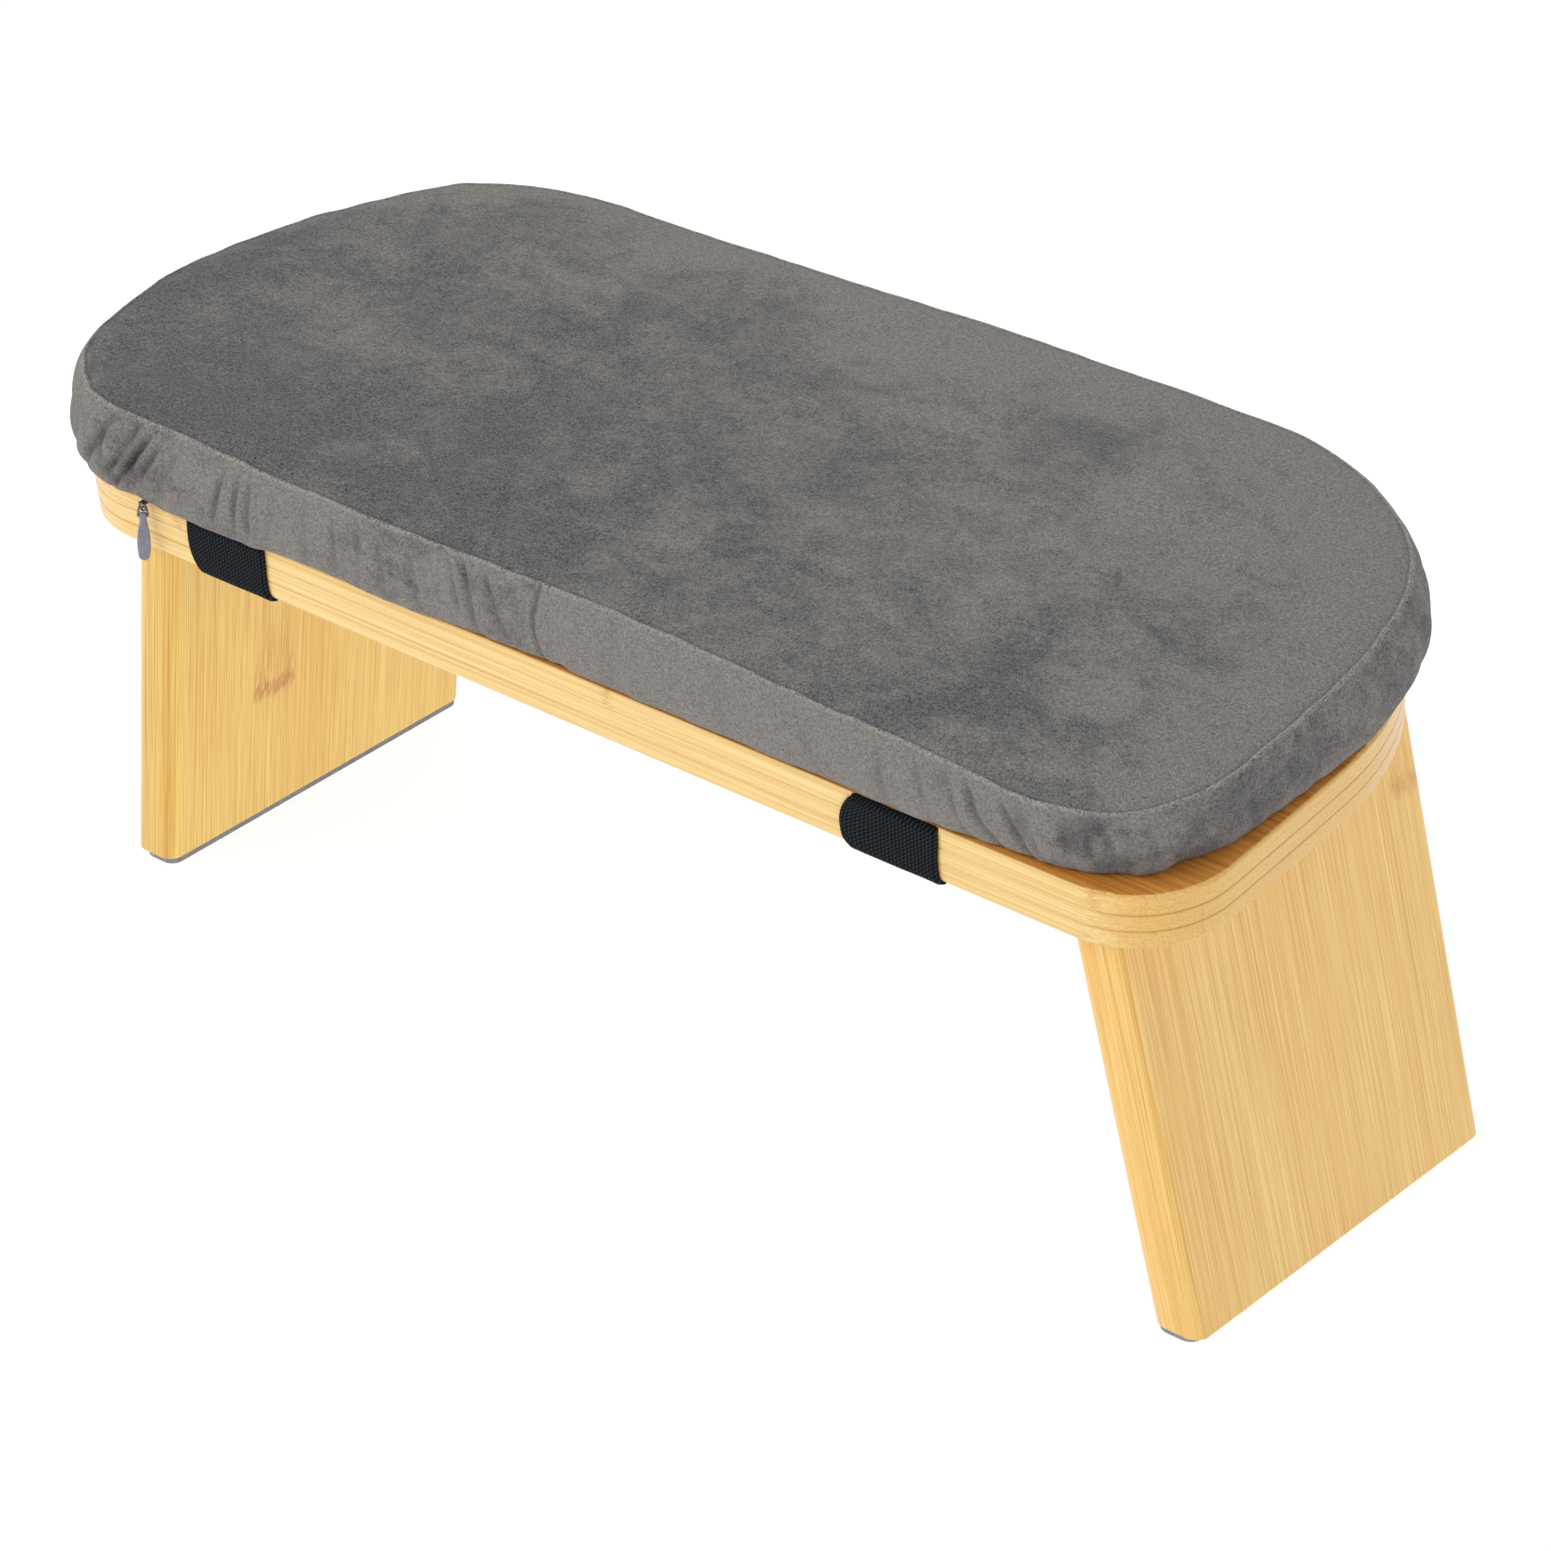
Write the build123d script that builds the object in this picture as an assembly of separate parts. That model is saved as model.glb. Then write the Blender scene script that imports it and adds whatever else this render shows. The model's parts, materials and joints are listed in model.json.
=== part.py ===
from build123d import *
import math
import os

# ------------------------------------------------------------------
# Folding kneeling / meditation bench: a three-ply bamboo seat board
# that tips forward, two splayed folding leg panels on butt hinges,
# grey foot strips, and a strapped-on zipped box cushion.
#
# All lengths are millimetres.  Everything is drawn in the seat frame
# (z = 0 on the underside of the board, +X to the right along the
# board, -Y to the front) and then tipped and lifted so that the feet
# stand on z = 0.
# ------------------------------------------------------------------

# placing of the seat frame over the floor
TILT = 8.15                 # forward tip of the seat, degrees
TILT_COS = math.cos(math.radians(TILT))
PAD_T = 2.5                 # thickness of the foot strips
WOOD_H = 167.74             # board to wood end of leg, square to the board, at y = 0
Y_SHIFT = 3.913             # puts the origin under the middle of the bounding box
PLACE = Location((0, Y_SHIFT, WOOD_H * TILT_COS + PAD_T), (TILT, 0, 0))

# seat board, three glued plies
SEAT_LENGTH = 470.0
SEAT_WIDTH = 208.5
PLY_BOTTOM = 6.9
PLY_CORE = 6.1
PLY_TOP = 7.4
SEAT_T = PLY_BOTTOM + PLY_CORE + PLY_TOP
SEAT_R_FRONT = 34.5         # front corner radius
SEAT_R_REAR = 113.0         # rear corner radius
SEAT_BOW = 2.5              # outward bow of the short ends
EDGE_R = 1.3                # rounding of the outer edges
GLUE_BEVEL = 0.25           # tiny bevel on both sides of each glue line

# legs
LEG_X = 207.0               # outer face of leg at the underside of the board
SPLAY = 10.79               # outward lean of the legs, degrees
LEG_T = 18.7
LEG_FRONT_Y = -94.0
LEG_REAR_Y = 68.8
LEG_EDGE_R = 5.5            # rounding of the upright edges
LEG_END_R = 0.6             # rounding of the sawn ends
LEG_GAP = 0.2               # leg top to board
BLANK_TOP = -40.0           # ends of the uncut leg, measured down the leg
BLANK_END = 240.0
PAD_IN = 0.3                # strip set back from inner face
PAD_OUT = 3.8               # strip set back from outer face
PAD_END = 1.2               # strip set back from front and rear edges
PAD_R = 4.6                 # corners of the strip, inside the rounding of the leg

# butt hinges, two to a leg, on the inside corner
PIN_OFF = 3.0               # hinge pin to each mounting face
PIN_R = 1.5
PIN_PROUD = 0.4             # pin past the knuckles at each end
PIN_CHAMFER = 0.3
KNUCKLE_R = 2.85
KNUCKLE_GAP = 0.2
KNUCKLE_COUNT = 5
SEAT_KNUCKLES = (0, 2, 4)   # counted from the front
LEG_KNUCKLES = (1, 3)
BORE_SEAT = 1.52            # bore radius of the seat leaf's knuckles
BORE_LEG = 1.56             # bore radius of the leg leaf's knuckles
LEAF_T = 1.4
LEAF_WIDTH = 14.5           # pin to edge of leaf
LEAF_CORNER_R = 2.5
LEAF_START = 0.5            # knuckle to full-length part of leaf
LUG_OVERLAP = 0.6           # knuckle to end of the short lugs, lapping the leaf
RELIEF_OFF = 0.5            # axis of the relief groove, past the mounting face
RELIEF_R = 0.65
HINGE_LENGTH = 40.0
HINGE_Y = {"front": -60.0, "rear": 33.6}

# countersunk wood screws
SCREW_HEAD_R = 2.9
SCREW_HEAD_H = 1.7
SCREW_R = 1.45
SCREW_LENGTH = 12.0
SCREW_TIP_R = 0.3
SCREW_TIP_H = 3.0
SCREW_FIT = 0.02            # radial clearance of the screw holes
SLOT_LENGTH, SLOT_WIDTH, SLOT_H = 3.2, 0.7, 0.9
SLOT_MID_Z = -0.4           # middle of the cross slots
SCREW_REACH = 9.6           # pin to screw line
SCREW_DY = 12.0             # half of the screw spacing along the hinge

# elastic straps
STRAP_WIDTH = 36.0
STRAP_T = 1.6
STRAP_X = {"left": -150.6, "right": 131.0}
STRAP_OFF = 0.12            # strap to board
STRAP_TOP = SEAT_T + 0.02

# cushion
CUSH_LENGTH = 472.4
CUSH_WIDTH = 209.8
CUSH_DX = -4.39
CUSH_DY = -1.4
CUSH_R_FRONT = 46.0
CUSH_R_REAR = 104.0
CUSH_BOW = 2.4
CUSH_Z0 = SEAT_T + 0.1
COVER_T = 1.4               # velvet with its lining
BOTTOM_T = 0.8
BOTTOM_IN = 2.2             # bottom panel set in from the cushion outline
SEAM_Z = 50.2               # top seam above the underside of the board
TOP_PANEL_Z = SEAM_Z - 0.3
SIDE_TOP_Z = SEAM_Z - 0.4   # top of side band and foam
BAND_Z0 = CUSH_Z0 + 0.1
FOAM_Z0 = CUSH_Z0 + BOTTOM_T + 0.1
FOAM_IN = 3.6
FOAM_TOP_R = 4.0
HEM_RISE = 1.0              # raised front hem above the cushion underside
PAST_FRONT_Y = -130.0       # clear of the cushion's front edge
HEM_CUT_Y = -90.0           # rear of the hem cut, clear of the front band

# zip let into the bottom panel just inside the front edge
ZIP_X0, ZIP_X1 = -194.5, 160.0
ZIP_Y = -98.0               # middle of the chain
ZIP_Z = 21.4                # underside of the coil rows
ZIP_REACH = 3.5             # half width over both tapes
TAPE_T = 0.5
TAPE_IN = 0.2               # tape ends inside the zip opening
TAPE_STEP = 0.4             # thickness of the step down to the bottom panel
COIL_WIDTH = 1.2            # width of one coil row
COIL_T = 1.6
COIL_IN = 3.0               # coil ends inside the zip opening
COIL_R = 0.4
COIL_NEAR = 0.4             # zip middle to the near edge of each coil and tape
COIL_FAR = COIL_NEAR + COIL_WIDTH
TAPE_Z = ZIP_Z + COIL_T
TAPE_TOP = TAPE_Z + TAPE_T
STOP_IN = 1.6               # stop middle inside the zip opening
STOP_HALF_X = 1.1
STOP_HALF_Y = COIL_FAR + 0.3
STOP_R = 0.3

# slider
SLIDER_X = -186.0
SLIDER_LENGTH = 9.0
SLIDER_HALF_Y = COIL_FAR + 0.7
SLIDER_LOW_Z = 20.62        # underside of the slider, just clear of the board
SLIDER_LOW_TOP = ZIP_Z - 0.13
SLIDER_TOP_Z = TAPE_TOP + 0.15
SLIDER_TOP_END = TAPE_TOP + 0.8
SLIDER_CORNER_R = 1.2
FLANGE_T = 0.55
FLANGE_IN = 1.2             # flange ends inside the slider ends
FLANGE_TOP = TAPE_Z - 0.15
POST_X0, POST_X1 = 0.6, 2.2  # post from the slider's left end
POST_HALF_Y = 0.25
ARM_HALF_X = 1.3
ARM_LAP = 0.5               # arm running into the lower plate

# zip pull
LUG_Y = -107.9
LUG_Z = 19.5
LUG_T = 0.6
EYE_R = 1.5                 # eye round the lug hole
EYE_HOLE = 1.1              # radius of the lug hole
WIRE_R = 0.4
LINK_TOP_X = 1.25           # half width of the link's top bar
LOOP_H = 3.4
LOOP_WIDTH = 4.2
LOOP_BEVEL_X, LOOP_BEVEL_Z = 0.3, 0.5   # cut corners at the foot of the link
LOOP_TURN = 43.0            # plane of loop and tab from the X axis, degrees
TAB_LENGTH = 18.0
TAB_WIDTH = 4.6
TAB_T = 1.7
TAB_EDGE_R = 0.45
TAB_HEAD_Z = -LOOP_H + 1.35
TAB_HOLE_FIT = 0.08
# tab outline: half width, distance below the head
TAB_OUTLINE = [
    (0.95, 0.15), (1.30, 1.2), (1.20, 2.6), (1.55, 5.0), (2.15, 9.0),
    (TAB_WIDTH / 2, 12.0), (2.10, 15.0), (1.60, TAB_LENGTH - 0.9),
]


# ------------------------------------------------------------------
# shared helpers
# ------------------------------------------------------------------
def box(x0, x1, y0, y1, z0, z1):
    return Pos((x0 + x1) / 2, (y0 + y1) / 2, (z0 + z1) / 2) * Box(x1 - x0, y1 - y0, z1 - z0)


def rod(start, end, radius):
    """Round bar from one point to another."""
    origin = Vector(*start)
    axis = Vector(*end) - origin
    return Plane(origin=origin, z_dir=axis) * Cylinder(
        radius, axis.length, align=(Align.CENTER, Align.CENTER, Align.MIN)
    )


def y_rod(x, z, y0, y1, radius):
    return rod((x, y0, z), (x, y1, z), radius)


def y_prism(corners, y0, y1):
    """Prism along Y from (x, z) corners."""
    points = [(x, y0, z) for x, z in corners]
    return extrude(make_face(Polyline(*points, points[0])), amount=y1 - y0, dir=(0, 1, 0))


def slab(face, height):
    return extrude(face, amount=height, dir=(0, 0, 1))


def mirror_x(shape):
    return mirror(shape, about=Plane.YZ)


def save(name, *shapes):
    """Put the solids of one piece over the floor and write them."""
    placed = [solid.moved(PLACE) for shape in shapes for solid in shape.solids()]
    result = placed[0] if len(placed) == 1 else Compound(children=placed)
    export_step(result, "parts/%s.step" % name)


def save_pair(name, *shapes):
    """Write a right-hand piece and its left-hand mirror image."""
    save("right_" + name, *shapes)
    save("left_" + name, *[mirror_x(shape) for shape in shapes])


def rounded_end_face(length, width, front_r, rear_r, bow, dx, dy, z, inset):
    """Face with straight long sides, bowed short ends and front / rear corner radii."""
    half_y = width / 2 - inset
    front_r -= inset
    rear_r -= inset
    end_r = ((width / 2) ** 2 + bow ** 2) / (2 * bow) - inset
    end_x = length / 2 - inset - end_r      # centre of the right-hand end arc

    def corner(side, radius):
        """Centre of a right-hand corner arc, and the angle where it meets the end arc."""
        y = side * (half_y - radius)
        x = end_x + math.sqrt((end_r - radius) ** 2 - y ** 2)
        return x, y, math.atan2(y, x - end_x)

    def on_arc(x, y, radius, angle):
        return (x + radius * math.cos(angle), y + radius * math.sin(angle))

    front_x, front_y, front_angle = corner(-1, front_r)
    rear_x, rear_y, rear_angle = corner(1, rear_r)
    # right-hand half of the outline, front to rear
    half = [
        (front_x, -half_y),
        on_arc(front_x, front_y, front_r, (front_angle - math.pi / 2) / 2),
        on_arc(front_x, front_y, front_r, front_angle),
        on_arc(end_x, 0, end_r, (front_angle + rear_angle) / 2),
        on_arc(rear_x, rear_y, rear_r, rear_angle),
        on_arc(rear_x, rear_y, rear_r, (rear_angle + math.pi / 2) / 2),
        (rear_x, half_y),
    ]
    right = [(x + dx, y + dy, z) for x, y in half]
    left = [(-x + dx, y + dy, z) for x, y in reversed(half)]
    edges = [ThreePointArc(*right[i:i + 3]) for i in (0, 2, 4)]
    edges.append(Line(right[-1], left[0]))
    edges += [ThreePointArc(*left[i:i + 3]) for i in (0, 2, 4)]
    edges.append(Line(left[-1], right[0]))
    return make_face(Wire(edges))


def seat_face(z, inset=0.0):
    return rounded_end_face(
        SEAT_LENGTH, SEAT_WIDTH, SEAT_R_FRONT, SEAT_R_REAR, SEAT_BOW, 0.0, 0.0, z, inset
    )


def cushion_face(z, inset):
    return rounded_end_face(
        CUSH_LENGTH, CUSH_WIDTH, CUSH_R_FRONT, CUSH_R_REAR, CUSH_BOW, CUSH_DX, CUSH_DY, z, inset
    )


# ------------------------------------------------------------------
# right-hand leg, set out in the X-Z plane
# ------------------------------------------------------------------
SPLAY_SIN = math.sin(math.radians(SPLAY))
SPLAY_COS = math.cos(math.radians(SPLAY))
DOWN_LEG = (SPLAY_SIN, -SPLAY_COS)
LEG_OUTWARD = (SPLAY_COS, SPLAY_SIN)        # from inner face to outer face
INNER_X = LEG_X - LEG_T / SPLAY_COS         # inner face at z = 0


def leg_point(down, out):
    """(x, z) of a point down the leg and out from its inner face."""
    return (
        INNER_X + down * DOWN_LEG[0] + out * LEG_OUTWARD[0],
        down * DOWN_LEG[1] + out * LEG_OUTWARD[1],
    )


def leg_prism(inner, outer, y0, y1, edge_r):
    corners = [
        leg_point(BLANK_TOP, inner), leg_point(BLANK_END, inner),
        leg_point(BLANK_END, outer), leg_point(BLANK_TOP, outer),
    ]
    prism = y_prism(corners, y0, y1)
    long_edges = [e for e in prism.edges() if abs(e.length - (BLANK_END - BLANK_TOP)) < 0.01]
    return fillet(long_edges, edge_r)


def floor_box(depth):
    """Everything lower than depth under the board at y = 0, square to the floor."""
    block = Pos(0, 0, -depth * TILT_COS - 200) * Box(900, 900, 400)
    return block.moved(Location((0, 0, 0), (-TILT, 0, 0)))


def make_leg(screw_holes):
    above_gap = box(-300, 300, -200, 200, -LEG_GAP, 200)
    leg = leg_prism(0, LEG_T, LEG_FRONT_Y, LEG_REAR_Y, LEG_EDGE_R)
    leg = leg - above_gap - floor_box(WOOD_H)
    outward = Vector(LEG_OUTWARD[0], 0, LEG_OUTWARD[1])
    end_edges = [
        e
        for f in leg.faces()
        if abs(f.normal_at().dot(outward)) < 0.5 and abs(f.normal_at().Y) < 0.5
        for e in f.edges()
    ]
    # the sawn ends stay sharp if the kernel cannot round them
    try:
        rounded = fillet(end_edges, LEG_END_R)
        if rounded.is_valid:
            leg = rounded
    except Exception:
        pass
    for hole in screw_holes:
        leg -= hole
    return leg


def make_foot_strip():
    strip = leg_prism(
        PAD_IN, LEG_T - PAD_OUT, LEG_FRONT_Y + PAD_END, LEG_REAR_Y - PAD_END, PAD_R
    )
    return (strip & floor_box(WOOD_H)) - floor_box(WOOD_H + PAD_T / TILT_COS)


# ------------------------------------------------------------------
# screws and hinges
# ------------------------------------------------------------------
def screw_shape(extra=0.0):
    """Countersunk screw drawn along -Z from its head face, with radii grown by extra."""
    shank_h = SCREW_LENGTH - SCREW_HEAD_H - SCREW_TIP_H
    head = Pos(0, 0, -SCREW_HEAD_H / 2) * Cone(
        SCREW_R + extra, SCREW_HEAD_R + extra, SCREW_HEAD_H
    )
    shank = Pos(0, 0, -SCREW_HEAD_H - shank_h / 2) * Cylinder(SCREW_R + extra, shank_h)
    tip = Pos(0, 0, -SCREW_LENGTH + SCREW_TIP_H / 2) * Cone(
        SCREW_TIP_R + extra, SCREW_R + extra, SCREW_TIP_H
    )
    return head + shank + tip


def make_screw():
    screw = screw_shape()
    screw -= Pos(0, 0, SLOT_MID_Z) * Box(SLOT_LENGTH, SLOT_WIDTH, SLOT_H)
    screw -= Pos(0, 0, SLOT_MID_Z) * Box(SLOT_WIDTH, SLOT_LENGTH, SLOT_H)
    return screw


# the pin stands PIN_OFF off both the board and the inner face of the leg
PIN_X = leg_point(PIN_OFF * (1 - SPLAY_SIN) / SPLAY_COS, -PIN_OFF)[0]
PIN_Z = -PIN_OFF


def knuckle_span(y_mid, i):
    """Front and rear y of knuckle i, with gaps only between knuckles."""
    pitch = HINGE_LENGTH / KNUCKLE_COUNT
    front = y_mid - HINGE_LENGTH / 2 + i * pitch
    gap_front = KNUCKLE_GAP / 2 if i > 0 else 0
    gap_rear = KNUCKLE_GAP / 2 if i < KNUCKLE_COUNT - 1 else 0
    return front + gap_front, front + pitch - gap_rear


def make_hinge_leaf(along, into_wood, y_mid, knuckle_numbers, bore):
    """Leaf on a mounting face PIN_OFF from the pin; returns leaf, screws and screw holes.

    along points away from the pin over the face, into_wood points into it, both as (x, z).
    """
    def leaf_point(reach, lift):
        """(x, z) of a point away from the pin and lifted off the wood."""
        return (
            PIN_X + PIN_OFF * into_wood[0] + reach * along[0] - lift * into_wood[0],
            PIN_Z + PIN_OFF * into_wood[1] + reach * along[1] - lift * into_wood[1],
        )

    def bar(near, far, y0, y1):
        corners = [
            leaf_point(near, 0), leaf_point(far, 0),
            leaf_point(far, LEAF_T), leaf_point(near, LEAF_T),
        ]
        return y_prism(corners, y0, y1)

    def pin_distance(edge):
        return (edge.center() - Vector(PIN_X, edge.center().Y, PIN_Z)).length

    y0, y1 = y_mid - HINGE_LENGTH / 2, y_mid + HINGE_LENGTH / 2
    leaf = bar(KNUCKLE_R + LEAF_START, LEAF_WIDTH, y0, y1)
    corner_edges = [e for e in leaf.edges() if abs(e.length - LEAF_T) < 0.01]
    leaf = fillet(sorted(corner_edges, key=pin_distance)[-2:], LEAF_CORNER_R)

    # lugs from leaf to pin, grooved to stay a little off the wood beside the pin
    relief_x, relief_z = leaf_point(0, -RELIEF_OFF)
    knuckles = None
    for i in knuckle_numbers:
        y0, y1 = knuckle_span(y_mid, i)
        relief = y_rod(relief_x, relief_z, y0, y1, RELIEF_R)
        leaf += bar(0.0, KNUCKLE_R + LUG_OVERLAP, y0, y1) - relief
        knuckle = y_rod(PIN_X, PIN_Z, y0, y1, KNUCKLE_R)
        knuckles = knuckle if knuckles is None else knuckles + knuckle
    leaf = leaf + knuckles
    leaf -= y_rod(PIN_X, PIN_Z, y_mid - HINGE_LENGTH, y_mid + HINGE_LENGTH, bore)

    screws, holes = [], []
    x, z = leaf_point(SCREW_REACH, LEAF_T)
    for side in (-1, 1):
        seat = Plane(
            origin=(x, y_mid + side * SCREW_DY, z), z_dir=(-into_wood[0], 0, -into_wood[1])
        )
        screws.append(seat * make_screw())
        holes.append(seat * screw_shape(SCREW_FIT))
        leaf -= holes[-1]
    return leaf, screws, holes


def make_hinge_pin(y_mid):
    half = HINGE_LENGTH / 2 + PIN_PROUD
    pin = y_rod(PIN_X, PIN_Z, y_mid - half, y_mid + half, PIN_R)
    return chamfer(pin.edges().filter_by(GeomType.CIRCLE), PIN_CHAMFER)


# ------------------------------------------------------------------
# seat board and straps
# ------------------------------------------------------------------
def make_ply(z0, height, top_treatment, bottom_treatment):
    """One ply; each treatment is (fillet or chamfer, size)."""
    ply = slab(seat_face(z0), height)
    for (soften, size), level in ((top_treatment, -1), (bottom_treatment, 0)):
        ply = soften(ply.edges().group_by(Axis.Z)[level], size)
    return ply


def drill_both_sides(ply, holes):
    for hole in holes:
        ply = ply - hole - mirror_x(hole)
    return ply


def strap_block(grow):
    """Board outline grown at the sides and below, rounded underneath."""
    block = slab(seat_face(-grow, -grow), STRAP_TOP + grow)
    return fillet(block.edges().group_by(Axis.Z)[0], EDGE_R + grow)


def make_strap(shell, x_mid):
    """Strap down the front of the board, under it and up the rear."""
    half = STRAP_WIDTH / 2
    return shell & box(x_mid - half, x_mid + half, -200, 200, -50, STRAP_TOP)


# ------------------------------------------------------------------
# cushion: foam block, top panel, bottom panel, side band
# ------------------------------------------------------------------
def make_foam():
    foam = slab(cushion_face(FOAM_Z0, FOAM_IN), SIDE_TOP_Z - FOAM_Z0)
    foam = fillet(foam.edges().group_by(Axis.Z)[-1], FOAM_TOP_R)
    # room for the zip
    return foam - box(
        ZIP_X0 - 2, ZIP_X1 + 2, PAST_FRONT_Y, ZIP_Y + ZIP_REACH + 0.3, 0, TAPE_TOP + 1.2
    )


def make_bottom_panel():
    panel = slab(cushion_face(CUSH_Z0, BOTTOM_IN), BOTTOM_T)
    return panel - box(ZIP_X0, ZIP_X1, PAST_FRONT_Y, ZIP_Y + ZIP_REACH - TAPE_STEP, 0, 40)


def make_side_band():
    band = slab(cushion_face(BAND_Z0, 0.0), SIDE_TOP_Z - BAND_Z0)
    band -= slab(cushion_face(CUSH_Z0 - 1, COVER_T), 60)
    # the front hem stands a little higher so that the slider's arm passes under it
    return band - box(ZIP_X0, ZIP_X1, PAST_FRONT_Y, HEM_CUT_Y, 0, CUSH_Z0 + HEM_RISE)


# ------------------------------------------------------------------
# zip: side -1 is the outer (front) half, side 1 the inner half
# ------------------------------------------------------------------
def zip_box(x0, x1, side, near, far, z0, z1):
    """Box on one side of the zip, from near to far off its middle."""
    y0, y1 = sorted((ZIP_Y + side * near, ZIP_Y + side * far))
    return box(x0, x1, y0, y1, z0, z1)


def make_tapes():
    x0, x1 = ZIP_X0 + TAPE_IN, ZIP_X1 - TAPE_IN
    outer, inner = [
        zip_box(x0, x1, side, COIL_NEAR, ZIP_REACH, TAPE_Z, TAPE_TOP) for side in (-1, 1)
    ]
    # the inner tape steps down to the bottom panel
    step_z = CUSH_Z0 + BOTTOM_T + 0.05
    inner += zip_box(x0, x1, 1, ZIP_REACH - TAPE_STEP, ZIP_REACH, step_z, TAPE_Z + 0.1)
    return outer, inner


def make_coil(side):
    x0, x1 = ZIP_X0 + COIL_IN, ZIP_X1 - COIL_IN
    coil = zip_box(x0, x1, side, COIL_NEAR, COIL_FAR, ZIP_Z, TAPE_Z)
    low_edges = [e for e in coil.edges() if e.length > 100 and e.center().Z < ZIP_Z + 0.1]
    return fillet(low_edges, COIL_R)


def make_end_stop(x):
    stop = box(
        x - STOP_HALF_X, x + STOP_HALF_X, ZIP_Y - STOP_HALF_Y, ZIP_Y + STOP_HALF_Y,
        ZIP_Z, TAPE_Z - 0.02,
    )
    return fillet(stop.edges(), STOP_R)


def make_slider():
    x0, x1 = SLIDER_X - SLIDER_LENGTH / 2, SLIDER_X + SLIDER_LENGTH / 2
    front_y, rear_y = ZIP_Y - SLIDER_HALF_Y, ZIP_Y + SLIDER_HALF_Y
    lug_y0, lug_y1 = LUG_Y - LUG_T / 2, LUG_Y + LUG_T / 2

    def plate(z0, z1):
        blank = box(x0, x1, front_y, rear_y, z0, z1)
        upright = [e for e in blank.edges() if abs(e.length - (z1 - z0)) < 0.001]
        return fillet(upright, SLIDER_CORNER_R)

    slider = plate(SLIDER_LOW_Z, SLIDER_LOW_TOP) + plate(SLIDER_TOP_Z, SLIDER_TOP_END)
    for side in (-1, 1):
        slider += zip_box(
            x0 + FLANGE_IN, x1 - FLANGE_IN, side, SLIDER_HALF_Y - FLANGE_T, SLIDER_HALF_Y,
            SLIDER_LOW_TOP, FLANGE_TOP,
        )
    # post between the plates
    slider += box(
        x0 + POST_X0, x0 + POST_X1, ZIP_Y - POST_HALF_Y, ZIP_Y + POST_HALF_Y,
        SLIDER_LOW_TOP, SLIDER_TOP_Z,
    )
    # arm reaching forward to the eye
    slider += box(
        SLIDER_X - ARM_HALF_X, SLIDER_X + ARM_HALF_X, lug_y0, front_y + ARM_LAP,
        SLIDER_LOW_Z, SLIDER_LOW_TOP,
    )
    eye = box(SLIDER_X - EYE_R, SLIDER_X + EYE_R, lug_y0, lug_y1, LUG_Z, SLIDER_LOW_TOP)
    eye += y_rod(SLIDER_X, LUG_Z, lug_y0, lug_y1, EYE_R)
    slider += eye
    return slider - y_rod(SLIDER_X, LUG_Z, LUG_Y - 2, LUG_Y + 2, EYE_HOLE)


def hang(shape):
    """Turn about the plumb line, hang plumb, and move to the lug."""
    turned = shape.moved(Location((0, 0, 0), (0, 0, LOOP_TURN)))
    return turned.moved(Location((SLIDER_X, LUG_Y, LUG_Z), (-TILT, 0, 0)))


def make_pull_link():
    """Closed loop of bent wire."""
    side_x = LOOP_WIDTH / 2 - WIRE_R
    points = [
        (-LINK_TOP_X, 0, 0.0),
        (LINK_TOP_X, 0, 0.0),
        (side_x, 0, -LOOP_H + LOOP_BEVEL_Z),
        (side_x - LOOP_BEVEL_X, 0, -LOOP_H),
        (-side_x + LOOP_BEVEL_X, 0, -LOOP_H),
        (-side_x, 0, -LOOP_H + LOOP_BEVEL_Z),
    ]
    link = None
    for start, end in zip(points, points[1:] + points[:1]):
        segment = rod(start, end, WIRE_R) + Pos(*end) * Sphere(WIRE_R)
        link = segment if link is None else link + segment
    return hang(link)


def make_pull_tab():
    """Drop-shaped tab: narrow head, widest below the middle, rounded foot."""
    right_side = Spline(
        (0, 0, TAB_HEAD_Z),
        *[(x, 0, TAB_HEAD_Z - drop) for x, drop in TAB_OUTLINE],
        (0, 0, TAB_HEAD_Z - TAB_LENGTH),
    )
    face = make_face(Wire([right_side, mirror_x(right_side).edges()[0]]))
    tab = extrude(face, amount=TAB_T / 2, dir=(0, 1, 0), both=True)
    # the tab keeps sharp edges if the kernel cannot round them
    try:
        soft = fillet(tab.edges().filter_by(lambda e: e.length > 10), TAB_EDGE_R)
        if soft.is_valid:
            tab = soft
    except Exception:
        pass
    tab -= rod((-3, 0, -LOOP_H), (3, 0, -LOOP_H), WIRE_R + TAB_HOLE_FIT)
    return hang(tab)


# ------------------------------------------------------------------
# build and write
# ------------------------------------------------------------------
os.makedirs("parts", exist_ok=True)

seat_screws, seat_holes, leg_screws, leg_holes = [], [], [], []
for place, hinge_y in HINGE_Y.items():
    # seat leaf: under the board, reaching inboard
    seat_leaf, screws, holes = make_hinge_leaf(
        (-1, 0), (0, 1), hinge_y, SEAT_KNUCKLES, BORE_SEAT
    )
    seat_screws += screws
    seat_holes += holes
    # leg leaf: on the inner face of the leg, reaching down
    leg_leaf, screws, holes = make_hinge_leaf(
        DOWN_LEG, LEG_OUTWARD, hinge_y, LEG_KNUCKLES, BORE_LEG
    )
    leg_screws += screws
    leg_holes += holes
    save_pair(place + "_hinge_seat_leaf", seat_leaf)
    save_pair(place + "_hinge_leg_leaf", leg_leaf)
    save_pair(place + "_hinge_pin", make_hinge_pin(hinge_y))
save_pair("hinge_seat_screws", *seat_screws)
save_pair("hinge_leg_screws", *leg_screws)
save_pair("leg", make_leg(leg_holes))
save_pair("foot_strip", make_foot_strip())

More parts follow.
